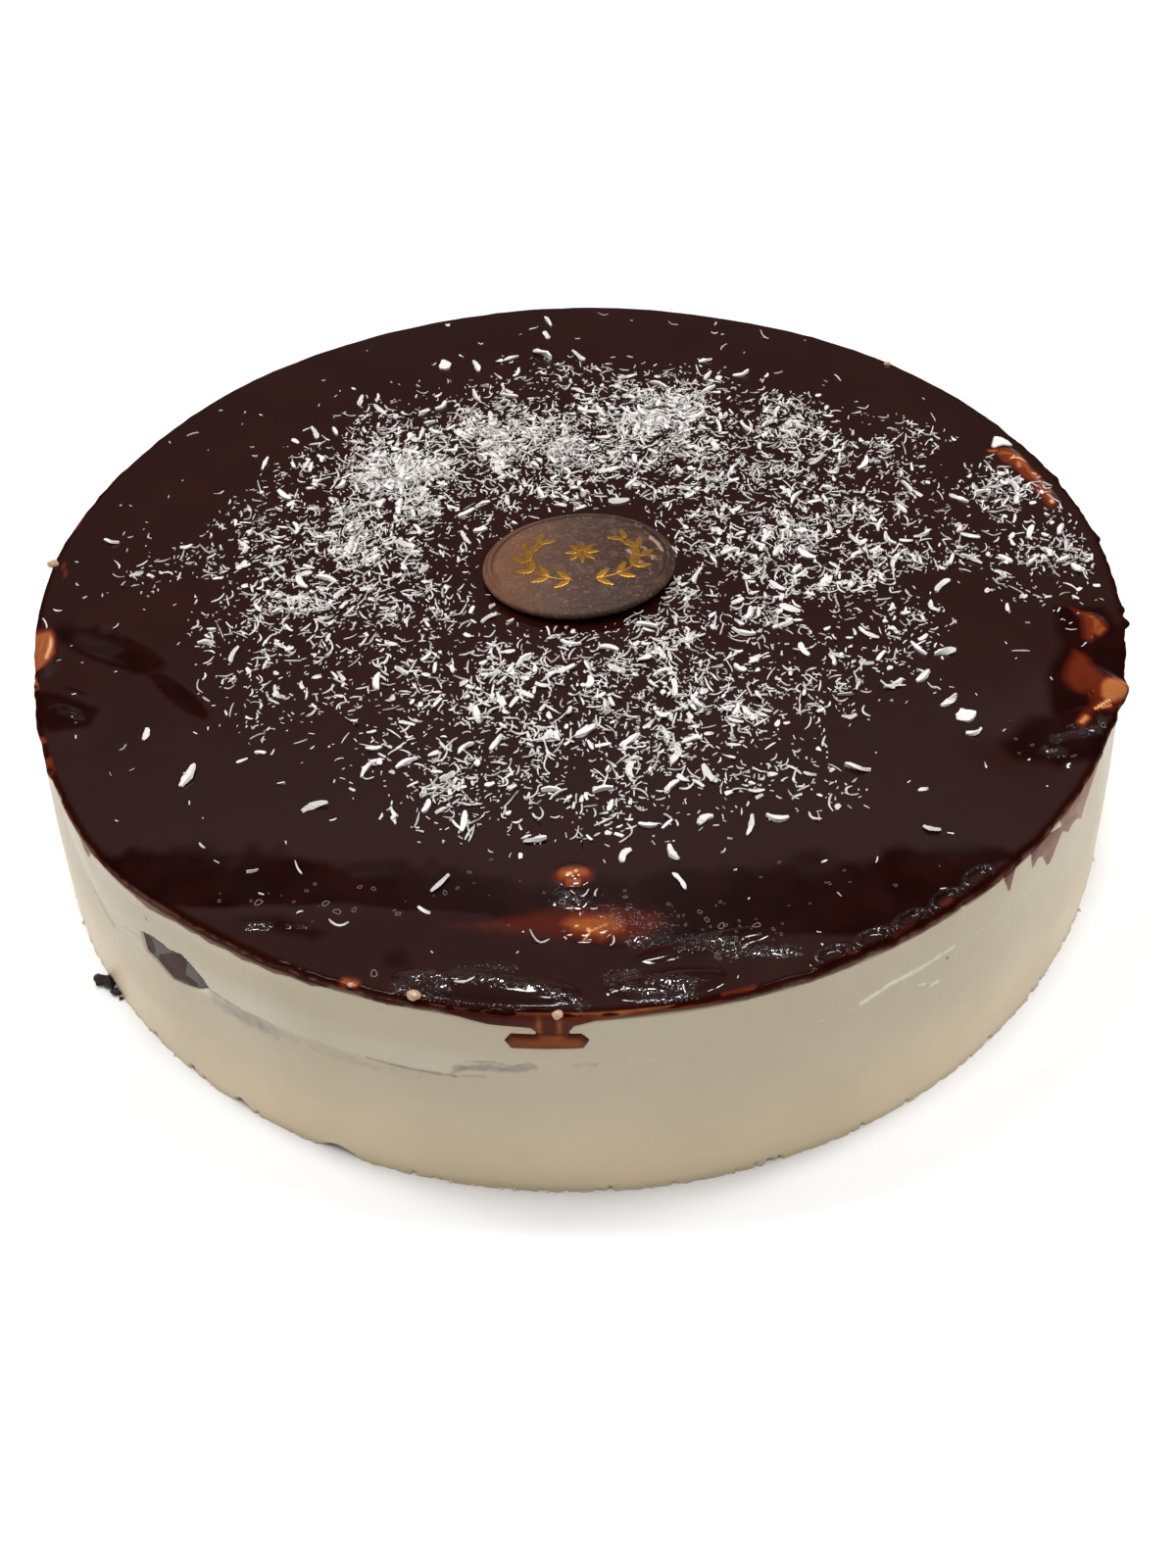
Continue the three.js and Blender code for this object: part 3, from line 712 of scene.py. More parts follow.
def foot_notches(bearing):
    """How torn the foot is at a bearing, from 0 to 1."""
    x, y = at_bearing(BASE_RADIUS, bearing)
    torn = 0.6 * smooth_step(0.5 * noise(x, y, 0, 5, 16) + noise(x, y, 0, 1.3, 17), 0.35, 0.9)
    for centre, spread in WIDE_NOTCHES:
        torn = np.maximum(torn, bell(away_from(bearing, centre), spread))
    return torn


def film_tones(s, z):
    """How far inside a brown film each point lies, and the film's tone."""
    film = np.full(np.broadcast(s, z).shape, -FILM_REACH)
    tone = np.zeros_like(film)
    for strength, outline in FILMS:
        inside = signed_distance(s, z, along_side(outline))
        tone = np.where(inside > -0.6, np.maximum(tone, strength), tone)
        film = np.maximum(film, np.clip(inside, -FILM_REACH, FILM_REACH))
    return film, tone + 0.25 * smooth_step(z, 47, 53)


def fold_tones(bearing, z):
    """How much the cream stands out above the fold, where it is also painted paler as a highlight, and the
    painted shade below it.
    """
    places, heights, strengths = np.array(FOLD).T
    above = z - np.interp(bearing, places, heights, left=60, right=60)
    strength = np.interp(bearing, places, strengths, left=0, right=0)
    soft = 1.2 + 3 * bell(bearing + 148, 6)
    ledge = strength * smooth_step(above / soft, -1, 1) * smooth_step(-above, -13, -2)
    return ledge, 0.45 * strength * bell(above + 2.4, 2.6)


def make_cream():
    bearing = stepped(SIDE_BEARINGS, SIDE_BEARINGS[0][0] + 360)[None, :]
    z = stepped(SIDE_ROWS, CREAM_TOP)[:, None]
    s = bearing * DEGREE_LENGTH
    around = at_bearing(BASE_RADIUS, bearing)
    notch = foot_notches(bearing)
    reach = 1 - smooth_step(z, 0.3 + 1.3 * notch, 0.9 + 2.0 * notch)
    ragged = reach * (FOOT_TEAR * noise(*around, z, 1.4, 12) + 0.05 - 1.5 * notch)
    wave = 0.12 * noise(*around, z, 22, 13) + 0.04 * noise(*around, z, 6, 14)

    def drawn(marks):
        return painted(s, z, [], [(level, width, along_side(path)) for level, width, path in marks])

    line, painted_shade, white = drawn(CREASES), drawn(SHADES), drawn(SCRATCH_HIGHLIGHTS)
    film, tone = film_tones(s, z)
    ledge, shade = fold_tones(bearing, z)
    # The ledge above the fold and a strip high on the left are painted paler, as a highlight.
    pale = np.maximum(ledge, 0.5 * bell(z - 50.5, 2.2) * smooth_step(-bearing, 106, 120))
    # Painted shade under the fold joins the painted shade strokes, a little weaker at the far left.
    painted_shade = np.maximum(painted_shade, shade) * (1 - 0.3 * bell(bearing + 147, 5))
    pit = smooth_step(signed_distance(s - SHARD_BEARING * DEGREE_LENGTH, z, SHARD_OUTLINE), -0.3, 0.5)
    radius = side_radius(bearing, z) + ragged + wave + 0.4 * ledge - 0.15 * line - 2.2 * pit
    side = np.stack([*at_bearing(radius, bearing), z + 0 * radius], -1)
    inner = side[-1] * (0.992, 0.992, 1)
    rings = np.concatenate([side[:1] * (0.5, 0.5, 0), side, inner[None], inner[None] * (0.5, 0.5, 1)])
    # The torn notches at the foot get painted shade.
    values = {"line": line, "painted_shade": painted_shade, "white": white, "pale": pale, "film": film, "tone": tone,
              "notch_shade": reach * notch}
    values = {k: np.pad(v, ((1, 2), (0, 0)), mode="edge") for k, v in values.items()}
    cream = revolved_object("cream", rings, [(0, 0, 0), (0, 0, float(side[-1, 0, 2]))], cream_look(), values)
    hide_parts("cream_body")
    return cream


# ---------------------------------------------------------------- glaze
# Where the glaze sticks out at the rim: bearing, spread and how far.
RIM_BURRS = [
    (-22.6, 1.7, 1.1), (-11.8, 0.5, 1.2), (-26.8, 1.2, 0.5), (2.5, 0.5, 0.7), (-9.6, 0.4, 0.6),
    (14, 0.6, 0.4),
]
# Steps of the glaze's mesh, round the cake and inwards: each start and the step from there on.
GLAZE_BEARINGS = [(-170, 0.3), (-125, 0.19), (-25, 0.3), (30, 1.5)]
GLAZE_LIP = 1.3
GLAZE_RADII = [(GLAZE_EDGE - GLAZE_LIP, -0.45), (104, -0.7), (88, -5)]
GLAZE_MIDDLE = 3

# Where the glaze lies so scant that the cream glows through: how scant, edge softness and outline.
THIN_PATCHES = [
    (0.4, 1.8, [(113.4, -20.6), (116.1, -22.6), (118.4, -25.1), (119.5, -25.9), (120.1, -28.7),
        (118.9, -30), (117.1, -31.5), (114.7, -33.8), (113.4, -32.3), (113.9, -29.3), (114.6, -25.3)]),
    (0.55, 0.9, [(116.6, -25.4), (118.6, -26.6), (118.8, -28.8), (116.4, -31.6), (115, -32),
        (116.2, -28.6)]),
    (0.34, 2.0, [(110.6, -35.6), (112.8, -37.6), (113.4, -39.6), (113.2, -44.1), (114, -46.1),
        (117.2, -46.9), (118, -48.5), (118, -50.7), (116.5, -53.7), (113.2, -56), (111.7, -55.3),
        (109.5, -56.4), (107.6, -58.7), (105.9, -60.4), (105.4, -58.6), (106.3, -56.5), (108.8, -54.5),
        (109.7, -52.7), (109.3, -50.8), (107.4, -50.1), (106, -48.1), (105.4, -45.3), (106.5, -42.1),
        (108.3, -39)]),
    (0.66, 0.9, [(113.1, -47.9), (114.6, -47.1), (116.5, -47.2), (117.5, -48.8), (117.6, -50.7),
        (116.1, -53.1), (114.3, -54.2), (112.6, -54.1), (111.5, -52.2), (111.9, -49.7)]),
    (0.42, 0.9, [(108.9, 43.6), (110.6, 44.4), (114.6, 43.6), (116.7, 41.7), (117.8, 38.9), (118.3, 35.8),
        (119.3, 33.5), (120, 30.5), (120.2, 27), (120.4, 23.2), (121, 20.7), (119.9, 18.2), (118.4, 17.9),
        (117.7, 21.3), (116.3, 25.6), (116.3, 29.4), (115.2, 31.2), (114.3, 33.9), (113, 37), (111.4, 38.5),
        (110.9, 41.2)]),
    (0.6, 0.9, [(-124.8, -13.6), (-121.2, -14.8), (-119.6, -18.7), (-118.6, -23.2), (-119.2, -25.9),
        (-120.1, -27.8), (-122.6, -29), (-125, -24), (-126, -18)]),
    (0.25, 3.4, [(-28, -106), (-18.4, -104.8), (-7.2, -102.6), (3.9, -102.4), (14, -104.6), (15, -109),
        (10, -112), (4, -112.2), (-0.1, -111.8), (-7.3, -110.4), (-18.4, -108.2)]),
    (0.56, 2.4, [(-6, -106.4), (-3, -104.4), (5, -104.6), (8, -106.8), (7, -109.6), (2, -110.8),
        (-3, -109.8)]),
]
# The same as strokes, the strongest of them painted highlights: level, width and path.
THIN_AND_HIGHLIGHT_STROKES = [
    (0.62, 1.2, [(112, 42), (115.4, 39.6), (116.6, 35.6), (118.4, 30.6), (119, 25), (119.6, 20.6)]),
    (0.62, 1.0, [(117, -31.2), (118.6, -29.6)]), (0.6, 0.7, [(116.6, -25.6), (117.4, -25.8)]),
    (1, 0.5, [(109.8, -55.4), (111.6, -53.9), (113.4, -53.4)]),
    (0.95, 0.35, [(111.4, -54.8), (113.4, -54.4)]), (0.78, 1.1, [(105.9, -59.4), (107.2, -58)]),
    (0.88, 0.5, [(115.8, -47.1), (117.4, -48), (118, -49.6)]),
    (1, 0.6, [(113.8, 38.9), (115.9, 38.7), (117.2, 37.8)]), (0.78, 0.9, [(115.2, 36.8), (115.1, 35.4)]),
    (0.72, 0.9, [(118.5, 32.6), (118.6, 31.8)]), (1, 0.9, [(119.6, 20.2), (119.6, 19.6)]),
    (0.9, 0.3, [(120, 29), (120.4, 25.4), (120, 23)]), (0.72, 0.7, [(109.3, 43.5), (111, 43.6)]),
    (0.9, 0.9, [(-120.9, -16.8), (-120.1, -21), (-120.2, -25)]),
    (0.7, 0.4, [(-121.6, -31), (-120.6, -33.4)]), (0.62, 2.0, [(-4.2, -95.2), (-0.4, -95)]),
    (1, 0.4, [(-4.4, -95.9), (-2.6, -95.4), (-1.2, -94.5)]), (0.75, 0.6, [(-3.6, -97.2), (-1.2, -97.2)]),
    (0.6, 2.2, [(-2, -107.6), (2.4, -109.2)]), (1, 0.5, [(-2.1, -107.7), (-1.9, -107.8)]),
    (1, 0.6, [(0.1, -108.8), (0.2, -109)]), (0.85, 0.4, [(-0.8, -111), (0.6, -109.2), (3.8, -107.4)]),
    (0.6, 1.1, [(-45, -117.9), (-43, -118.6)]), (0.95, 0.5, [(-43.8, -118.8), (-43.2, -119)]),
    (0.55, 0.8, [(-124.6, 24), (-123.6, 31)]), (0.4, 0.6, [(-122.6, 6), (-124.8, 12)]),
    (0.38, 1.6, [(-14.6, 75), (-14, 74.6)]), (0.38, 1.5, [(-31, 69), (-28.9, 67.4)]),
    (0.34, 1.5, [(-43, 61), (-42, 60)]), (0.3, 0.9, [(67.5, -106), (69, -105)]),
    (0.34, 0.6, [(24, -124.2), (30, -122.6)]), (0.26, 0.5, [(46, -117.2), (50, -115.8)]),
    (0.24, 0.5, [(57, -112.8), (61, -110.8)]),
]
# The front strip, where the glaze mirrors little and is painted darker and redder as a dark reflection: x,
# upper and lower y.
BAND_EDGES = [
    (-100, -84, -86), (-94, -83, -92), (-84, -84, -99), (-60, -86, -100), (-50, -91, -100),
    (-20, -94, -104), (0, -96, -113), (30, -96, -112), (50, -93, -112), (62, -91, -108), (74, -91, -100),
    (84, -92, -95), (90, -93, -93),
]
# Spots that mirror more or less than the rest: how much more, edge softness and outline.
MIRROR_PATCHES = [
    (1.0, 1.4, [(-116, -16.6), (-107.7, -19.4), (-104, -22), (-106, -24), (-110, -22.4), (-115, -19.6)]),
    (0.6, 0.6, [(-114, -42), (-111.6, -43.2), (-111, -45), (-113, -44.2)]),
]
# Matt spots also get the darker, redder painted reflection colour.
MATT_PATCHES = [
    (0.95, 1.2, [(-103.6, -20.6), (-98, -23.2), (-95, -27), (-95.4, -31.6), (-99.8, -30.4), (-104, -27)]),
    (0.9, 0.8, [(-96.3, -31.8), (-93.3, -30.4), (-89.2, -35.5), (-86.8, -39.5), (-88.4, -40.4),
        (-92.3, -36.3)]),
    (0.8, 0.7, [(-114.7, -34.4), (-112.1, -35.2), (-108, -37.3), (-109.4, -37.5), (-113, -36.1)]),
    (0.95, 1.0, [(-121, -35), (-113, -38), (-105, -42), (-106, -48), (-114, -49), (-120, -44)]),
    (0.9, 2.0, [(88, -63), (96, -56), (104, -56), (106, -62), (98, -70), (90, -69)]),
    (0.85, 1.4, [(-66, -102.6), (-58, -102.4), (-49, -106.6), (-52, -107.8), (-60, -105.6)]),
    (0.6, 1.6, [(-38, -112), (-34, -111), (-33, -115), (-37, -115.4)]),
    (0.95, 1.6, [(110, -20), (121, -21), (124, -34), (121, -46), (119, -56), (110, -68), (98, -72),
        (94, -66), (100, -60), (102, -44), (108, -34)]),
]


def glaze_profile():
    """Radius and height of the glaze's rings, from its underside round the edge to the middle."""
    under = [(60, 0), (GLAZE_EDGE - 1.2, 0), (GLAZE_EDGE - 0.5, 0.1), (GLAZE_EDGE - 0.1, 0.5)]
    under = [(radius, GLAZE_BOTTOM + rise) for radius, rise in under]
    bend = np.radians(np.linspace(90, 0, 7))[:-1]
    rounded = [(GLAZE_EDGE - GLAZE_LIP * (1 - math.sin(b)), CAKE_HEIGHT - 1 + math.cos(b)) for b in bend]
    return np.array(under + rounded + [(r, CAKE_HEIGHT) for r in stepped(GLAZE_RADII, GLAZE_MIDDLE)])


def edge_tones(bearing, out, level, points):
    """How scant the glaze is, with the painted highlights, how much it hangs as a brown film, and where cream
    smears it.
    """
    x, y, z = points
    side = smooth_step(out, GLAZE_EDGE - 1.0, GLAZE_EDGE - 0.4) * smooth_step(CAKE_HEIGHT - level, 0.2, 0.8)
    by_drip = smooth_step(bearing, -107, -104) * smooth_step(-bearing, 77, 80)
    warm = 0.34 + 0.16 * smooth_step(bearing, -98, -86) + 0.04 * noise(x, y, z, 5, 27)
    left_rim = smooth_step(out, GLAZE_EDGE - 2.2, GLAZE_EDGE - 1) * bell(away_from(bearing, -159), 12)
    worn = smooth_step(noise(x, y, z, 3.4, 30) + 0.6 * noise(x, y, z, 1.4, 31), -0.1, 0.7)
    thin_and_highlight = painted(x, y, THIN_PATCHES, THIN_AND_HIGHLIGHT_STROKES)
    thin_and_highlight = np.maximum.reduce([thin_and_highlight, side * by_drip * warm, left_rim * worn * 0.5])
    hanging = side * (1 - by_drip)
    flecked = smooth_step(noise(x, y, 0, 5, 28) + 0.6 * noise(x, y, 0, 1.7, 29), -0.2, 0.9)
    smear = smooth_step(GLAZE_BOTTOM + 0.7 * flecked - level, -0.2, 0.2) * hanging
    return thin_and_highlight, hanging * (bearing < -20), smear


def top_tones(x, y, out, thin_and_highlight):
    """Where the glaze is painted darker and redder as a dark reflection, how much it mirrors, and its
    puckers.
    """
    wide, narrow = 1.1 * noise(x, y, 0, 9, 25), 0.9 * noise(x, y, 0, 5, 26)
    places, highs, lows = np.array(BAND_EDGES).T
    ragged = 2.2 * wide + 1.6 * noise(x, y, 0, 3, 33)
    dark_reflection_band = smooth_step(np.interp(x, places, highs) - y + ragged, -1.8, 2.8)
    dark_reflection_band = dark_reflection_band * smooth_step(y - np.interp(x, places, lows) + 0.6 * narrow, -0.5, 1)
    lumps = np.max([within(x, y, lump, 1.15, 0.85) for lump in FRONT_LUMPS], 0)
    hollow = np.max([within(x, y, dent, 1.2, 0.95) for dent in KNIFE_DENTS], 0)
    matt = np.maximum(painted(x + wide * 0.4, y + narrow * 0.4, MATT_PATCHES, []), 0.9 * hollow)
    pucker = pucker_amount(x, y)
    gloss = 1 + painted(x, y, MIRROR_PATCHES, []) - matt
    gloss = gloss * (1 - (1 - 0.62 * bell(x, 32)) * dark_reflection_band * (1 - 0.6 * lumps) * (0.9 + 0.1 * narrow))
    gloss = gloss * (1 - 0.3 * smooth_step(-y, 96, 106)) * (1 - 0.35 * lumps) + 1.3 * pucker
    gloss = np.maximum(gloss, 0) * (1 - smooth_step(out, GLAZE_EDGE - 2, GLAZE_EDGE - 0.9))
    gloss = gloss * (1 - 0.7 * smooth_step(thin_and_highlight, 0.1, 0.35) * smooth_step(x, 80, 100))
    return np.maximum(dark_reflection_band, matt), gloss, pucker


def make_glaze():
    bearing = stepped(GLAZE_BEARINGS, GLAZE_BEARINGS[0][0] + 360)
    profile = glaze_profile()
    out, level = profile[:, :1], profile[:, 1:]
    x, y = at_bearing(out * (1 + rim_offset(bearing) / RIM_RADIUS), bearing)
    lift = smooth_step(level, GLAZE_BOTTOM + 0.4, CAKE_HEIGHT - 0.5)
    z = level + lift * (glaze_top(x, y) - CAKE_HEIGHT)
    thin_and_highlight, side, smear = edge_tones(bearing, out, level, (x, y, z))
    dark_reflection_band, gloss, pucker = top_tones(x, y, out, thin_and_highlight)
    burrs = sum(far * bell(away_from(bearing, at), spread) for at, spread, far in RIM_BURRS)
    push = 0.35 * noise(x, y, z, 4, 21) + 0.2 * noise(x, y, z, 1.5, 22) + burrs
    push_x, push_y = at_bearing(push * smooth_step(out, GLAZE_EDGE - 3, GLAZE_EDGE), bearing)
    points = np.stack([x + push_x, y + push_y, z], -1)
    values = {"thin_and_highlight": thin_and_highlight, "dark_reflection_band": dark_reflection_band, "gloss": gloss, "pucker": pucker, "smear": smear, "side": side}
    poles = [(0, 0, GLAZE_BOTTOM), (0, 0, float(glaze_top(0.0, 0.0)))]
    glaze = revolved_object("glaze_sheet", points, poles, glaze_look(), values)
    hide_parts("glaze")
    return glaze


def make_drip():
    def front(s, z, depth):
        return -SUNK + (DRIP_PROUD + SUNK) * smooth_step(depth, -0.3, 1.2) + 0.05 * noise(s, z, 0, 2.5, 31)

    def back(s, z, depth):
        return -SUNK - 0.3 * smooth_step(depth, 0, 1)

    def pale(s, z, depth):
        base = 0.04 + 0.3 * smooth_step(s, -14, 12) * smooth_step(z, 43, 52)
        bulb = (0.25 + 0.3 * smooth_step(depth, 0.2, 2)) * smooth_step(-z, -49.8, -48.6)
        # Painted highlights: two upright streaks with bright ends, and a line along the crest on the right.
        strips = 0.5 * bell((z - 51.5) / 2) * (bell(s + 0.6, 0.55) + bell(s - 3.1, 0.55))
        ends = 0.75 * bell((z - 50) / 0.35) * (bell(s + 0.6, 0.9) + bell(s - 3.1, 0.9))
        crest = 0.3 * bell(depth - 0.7, 0.5) * smooth_step(s, 8, 14)
        return np.maximum.reduce([base + crest, bulb, base + strips, ends])

    patch = outline_patch(DRIP_OUTLINE, 0.3)
    drip = film_object("glaze_drip", patch, on_side(DRIP_BEARING), front, back, drip_look(), {"pale": pale})
    return drip


# ---------------------------------------------------------------- beads, chips and bubbles
def lump_points(draw, rings=8, columns=12, rough=0.3):
    """A rough round lump of unit size."""
    lat = np.radians(np.linspace(-75, 75, rings))[:, None]
    lon = np.linspace(0, 2 * np.pi, columns, endpoint=False)[None, :]
    base = np.stack([np.cos(lat) * np.cos(lon), np.cos(lat) * np.sin(lon), np.sin(lat) + 0 * lon], -1)
    shift = draw.uniform(-50, 50, 3)
    size = 1 + rough * noise(*np.moveaxis(base * 3 + shift, -1, 0), 1.6, 71)
    return base * size[..., None]


def joined_lumps(name, lumps, material, values):
    """One mesh of many lumps of the same make, each closed with caps."""
    rings, columns = lumps[0].shape[:2]
    last = (rings - 1) * columns
    low = [(0, k + 1, k) for k in range(1, columns - 1)]
    high = [(last, last + k, last + k + 1) for k in range(1, columns - 1)]
    faces = [repeated(f, len(lumps), rings * columns) for f in (ring_faces(rings, columns), low + high)]
    return mesh_object(name, np.reshape(lumps, (-1, 3)), faces, material, values)


# Cream beads on the rim: bearing, height, radius from the middle and half size.
RIM_BEADS = [
    (-104.7, 54.9, 126.3, 1.3), (-92.7, 54, 127.2, 1.1), (-110.2, 54.6, 126.8, 0.6),
    (-55.8, 53, 126.8, 0.7), (175.3, 54.9, 127, 1.5), (44.2, 55, 126, 1.0),
]
# Where burst bubbles lie.
BUBBLES = [
    (-50.1, -99.7), (-47.7, -101.8), (-44.5, -101.5), (-41.1, -96.5), (-43.8, -95.9), (-36, -102.9),
    (-27.2, -98.2), (-24.8, -97.2), (-22.6, -93.3), (-39.7, -116.5), (5.9, -106.9), (21.4, -105.3),
    (22.6, -107.2), (25.2, -108.8), (31.8, -109.1), (-63.1, -98.8), (98.4, -66.4), (110.4, -60),
    (-3.6, -100.4), (-2, -101.6), (-4.6, -101.9),
]
# Where pin-head bubbles lie: x, y, spread along both, and how many.
SPECK_PLACES = [
    (-30, -99, 34, 6, 14), (8, -105, 16, 5, 44), (30, -112, 12, 4, 26), (50, -100, 18, 8, 10),
    (-60, -100, 12, 6, 5), (98, -64, 8, 6, 12),
]


def make_bubbles(material):
    """Burst bubbles, each a ring half sunk in the glaze, and pin-head ones."""
    draw = np.random.default_rng(5)
    around, tube = 12, 6
    turns = [np.linspace(0, 2 * np.pi, count, endpoint=False) for count in (around, tube)]
    u, v = np.meshgrid(*turns, indexing="ij")
    places = [(x, y, draw.uniform(0.35, 0.65)) for x, y in BUBBLES]
    for x, y, spread_x, spread_y, count in SPECK_PLACES:
        for _ in range(count):
            bx, by = x + spread_x * draw.normal() * 0.6, y + spread_y * draw.normal() * 0.6
            if math.hypot(bx, by) < RIM_RADIUS - 3:
                places.append((bx, by, draw.uniform(0.12, 0.34)))
    rings = []
    for bx, by, size in places:
        thick = 0.2 * size
        reach = size * (1 + 0.22 * np.sin(2 * u + bx) + 0.12 * np.sin(3 * u + by)) + thick * np.cos(v)
        x, y = bx + reach * np.cos(u) * draw.uniform(0.8, 1.2), by + reach * np.sin(u)
        rings.append(np.stack([x, y, glaze_top(x, y) + thick * (0.3 + 0.9 * np.sin(v))], -1))
    index = np.arange(around * tube).reshape(around, tube)
    after = np.roll(index, -1, 0)
    quads = np.stack([index, after, np.roll(after, -1, 1), np.roll(index, -1, 1)], -1).reshape(-1, 4)
    faces = [repeated(quads, len(rings), around * tube)]
    # The rings get the painted dark reflection colour in full.
    values = {"thin_and_highlight": 0, "dark_reflection_band": 1, "gloss": 1.6, "pucker": 0, "smear": 0, "side": 0}
    bubbles = mesh_object("bubble_rings", np.reshape(rings, (-1, 3)), faces, material, values)
    return bubbles


def make_beads():
    draw = np.random.default_rng(3)
    lumps = []
    for bearing, z, radius, size in RIM_BEADS:
        lumps.append(lump_points(draw) * size * (1, 0.8, 0.7) + (*at_bearing(radius, bearing), z))
    look = Look("bead", Roughness=0.3, Coat_Weight=0.4, Coat_Roughness=0.1)
    look.set("Base Color", look.mix(look.noise(1.5), srgb(206, 176, 146), srgb(176, 132, 98)))
    beads = joined_lumps("rim_beads", lumps, look.material, {})
    return beads


# ---------------------------------------------------------------- coconut
# Coconut lies all round the plaque, and thicker or thinner in clumps: x, y, spread and layers.
COCONUT_BASE = 0.37
COCONUT_CLUMPS = [
    (27, 66, 10, 2.5), (-44, 42, 12.5, 2.0), (-16, 59, 11, 1.2), (-56, 14, 10, 0.8), (-64, 0, 17, 0.35),
    (0, 48, 15, 0.5), (54, 59, 8, 0.9), (36, 32, 8, 0.4), (60, 5, 13, 0.6), (110, 24, 9, 0.75),
    (118, 0, 11, 0.45), (88, 48, 8, 0.6), (68, 66, 8, 0.15), (85, 32, 7, 0.45), (88, 6, 12, 0.22),
    (104, -14, 9, 0.12), (-98, 8, 12, 0.15), (-5, -42, 12, 0.35), (26, -38, 15, 0.15), (18, -64, 10, 0.15),
    (-22, -68, 12, 0.35), (48, -74, 8, 0.25), (76, -50, 9, 0.15), (-10, 36, 10, 0.2), (12, 38, 9, 0.2),
    (-68, -50, 9, 0.12), (-46, -46, 17, -0.3), (70, -64, 17, -0.2), (52, -26, 13, -0.3), (38, 0, 10, -0.2),
    (-18, -8, 12, -0.2), (38, -58, 9, -0.15), (76, 26, 9, -0.15), (-6, 20, 8, -0.3), (12, 20, 8, -0.45),
]
FLAKE_COUNT = 205
FLAKE_LENGTH = (3, 5.6)
FLAKE_WIDTH = (0.8, 1.5)
FLAKE_THICKNESS = 0.8
FLAKE_SINK = 0.25
FLAKE_CLEARANCE = 0.5
FLAKE_REACH = 121
FLAKE_SEED = 52
DRAWS_PER_ROUND = 6000

# x, y, length, width, direction, sideways curl and lift of one end.
LONE_FLAKES = [
    (-34, 96, 4.4, 3.2, 80, 0.3, 0), (-25, 95, 6, 1.5, 105, 0.3, 0), (-6, 100, 7, 4, 130, 0.3, 0),
    (4, 98.5, 6, 2.2, 120, 0.3, 0), (-5, 110.5, 4, 1.2, 110, 0.3, 0), (-114, 18.5, 4, 1.6, -20, 0.3, 0),
    (-93, -51, 3.6, 1.4, 85, 0.3, 0), (-82, -64, 6.5, 2.2, 75, 0.3, 0), (82.5, -55, 4.4, 3.4, 20, 0.3, 0),
    (80, -50.5, 5, 1.8, 40, 0.3, 0), (69, -87, 3.4, 1.8, -20, 0.3, 0), (57, -69.5, 5.4, 1.8, -20, 0.3, 0),
]


def even_draws(seed):
    """The same random draws as the CAD part makes."""
    while True:
        seed = (seed * 1664525 + 1013904223) % 2 ** 32
        yield seed / 2 ** 32


def clumped(x, y, clumps):
    """Sum of soft round clumps."""
    return sum(amount * bell(np.hypot(x - cx, y - cy), spread) for cx, cy, spread, amount in clumps)


def coconut_layers(x, y):
    """How thick the coconut lies, in layers of shreds."""
    reach = np.hypot(x, y - 5)
    layers = COCONUT_BASE * smooth_step(-reach, -98, -68) * (0.7 + 0.3 * smooth_step(reach, 22, 46))
    return np.maximum(layers + clumped(x, y, COCONUT_CLUMPS), 0.004)


def clear_of_plaque(x, y, margin):
    along = (x - PLAQUE_CENTRE[0]) / (PLAQUE_LENGTH / 2 + margin)
    across = (y - PLAQUE_CENTRE[1]) / (PLAQUE_WIDTH / 2 + margin)
    return np.hypot(along, across) > 1


# Where the large flakes of the CAD part lie: x, y, spread and amount.
FLAKE_CLUMPS = [
    (28, 72, 17, 1), (-44, 42, 20, 1), (-20, 62, 17, 0.8), (-62, 8, 22, 0.8), (6, 46, 18, 0.5),
    (56, 52, 20, 0.6), (64, 6, 22, 0.8), (112, 10, 18, 0.8), (-10, -44, 22, 0.8), (32, -34, 22, 0.6),
    (12, -66, 22, 0.6), (-30, -72, 18, 0.5), (-4, 96, 16, 0.3), (76, -48, 18, 0.3),
]


def large_flakes():
    """The flakes that the CAD glaze carries, at the same places."""
    draws = even_draws(FLAKE_SEED)

    def between(low, high):
        return low + (high - low) * next(draws)

    flakes = list(LONE_FLAKES)
    while len(flakes) < FLAKE_COUNT:
        x, y = between(-FLAKE_REACH, FLAKE_REACH), between(-FLAKE_REACH, FLAKE_REACH)
        length, width, turn = between(*FLAKE_LENGTH), between(*FLAKE_WIDTH), between(0, 180)
        curl, lift = between(-0.9, 0.9), between(0, 0.8)
        wanted = next(draws) < clumped(x, y, FLAKE_CLUMPS) and math.hypot(x, y) < FLAKE_REACH
        apart = all(math.hypot(x - o[0], y - o[1]) > (length + o[2]) / 2 + FLAKE_CLEARANCE for o in flakes)
        if wanted and apart and clear_of_plaque(x, y, length / 2 + 1):
            flakes.append((x, y, length, width, turn, curl, lift))
    return np.array(flakes)


class Heap:
    """How high the coconut already lies, on a fine grid."""

    CELL = 0.6
    HALF = 135

    def __init__(self):
        steps = int(2 * self.HALF / self.CELL)
        centres = (np.arange(steps) + 0.5) * self.CELL - self.HALF
        x, y = np.meshgrid(centres, centres, indexing="ij")
        self.level = glaze_top(x, y, fine=False)

    def lay(self, x, y, thickness):
        """Heights at which a strip over these points comes to rest; the heap grows by it."""
        cells = tuple(((v + self.HALF) / self.CELL).astype(int) for v in (x, y))
        under = self.level[cells]
        half = len(under) // 2
        line = np.linspace(np.mean(under[:half + 1]), np.mean(under[half:]), len(under))
        line = line + max(0.0, float(np.max(under - line)) * 0.6)
        self.level[cells] = np.maximum(under, line + thickness * 0.75)
        return line


# Corners of a strip's section.
SECTION = 4


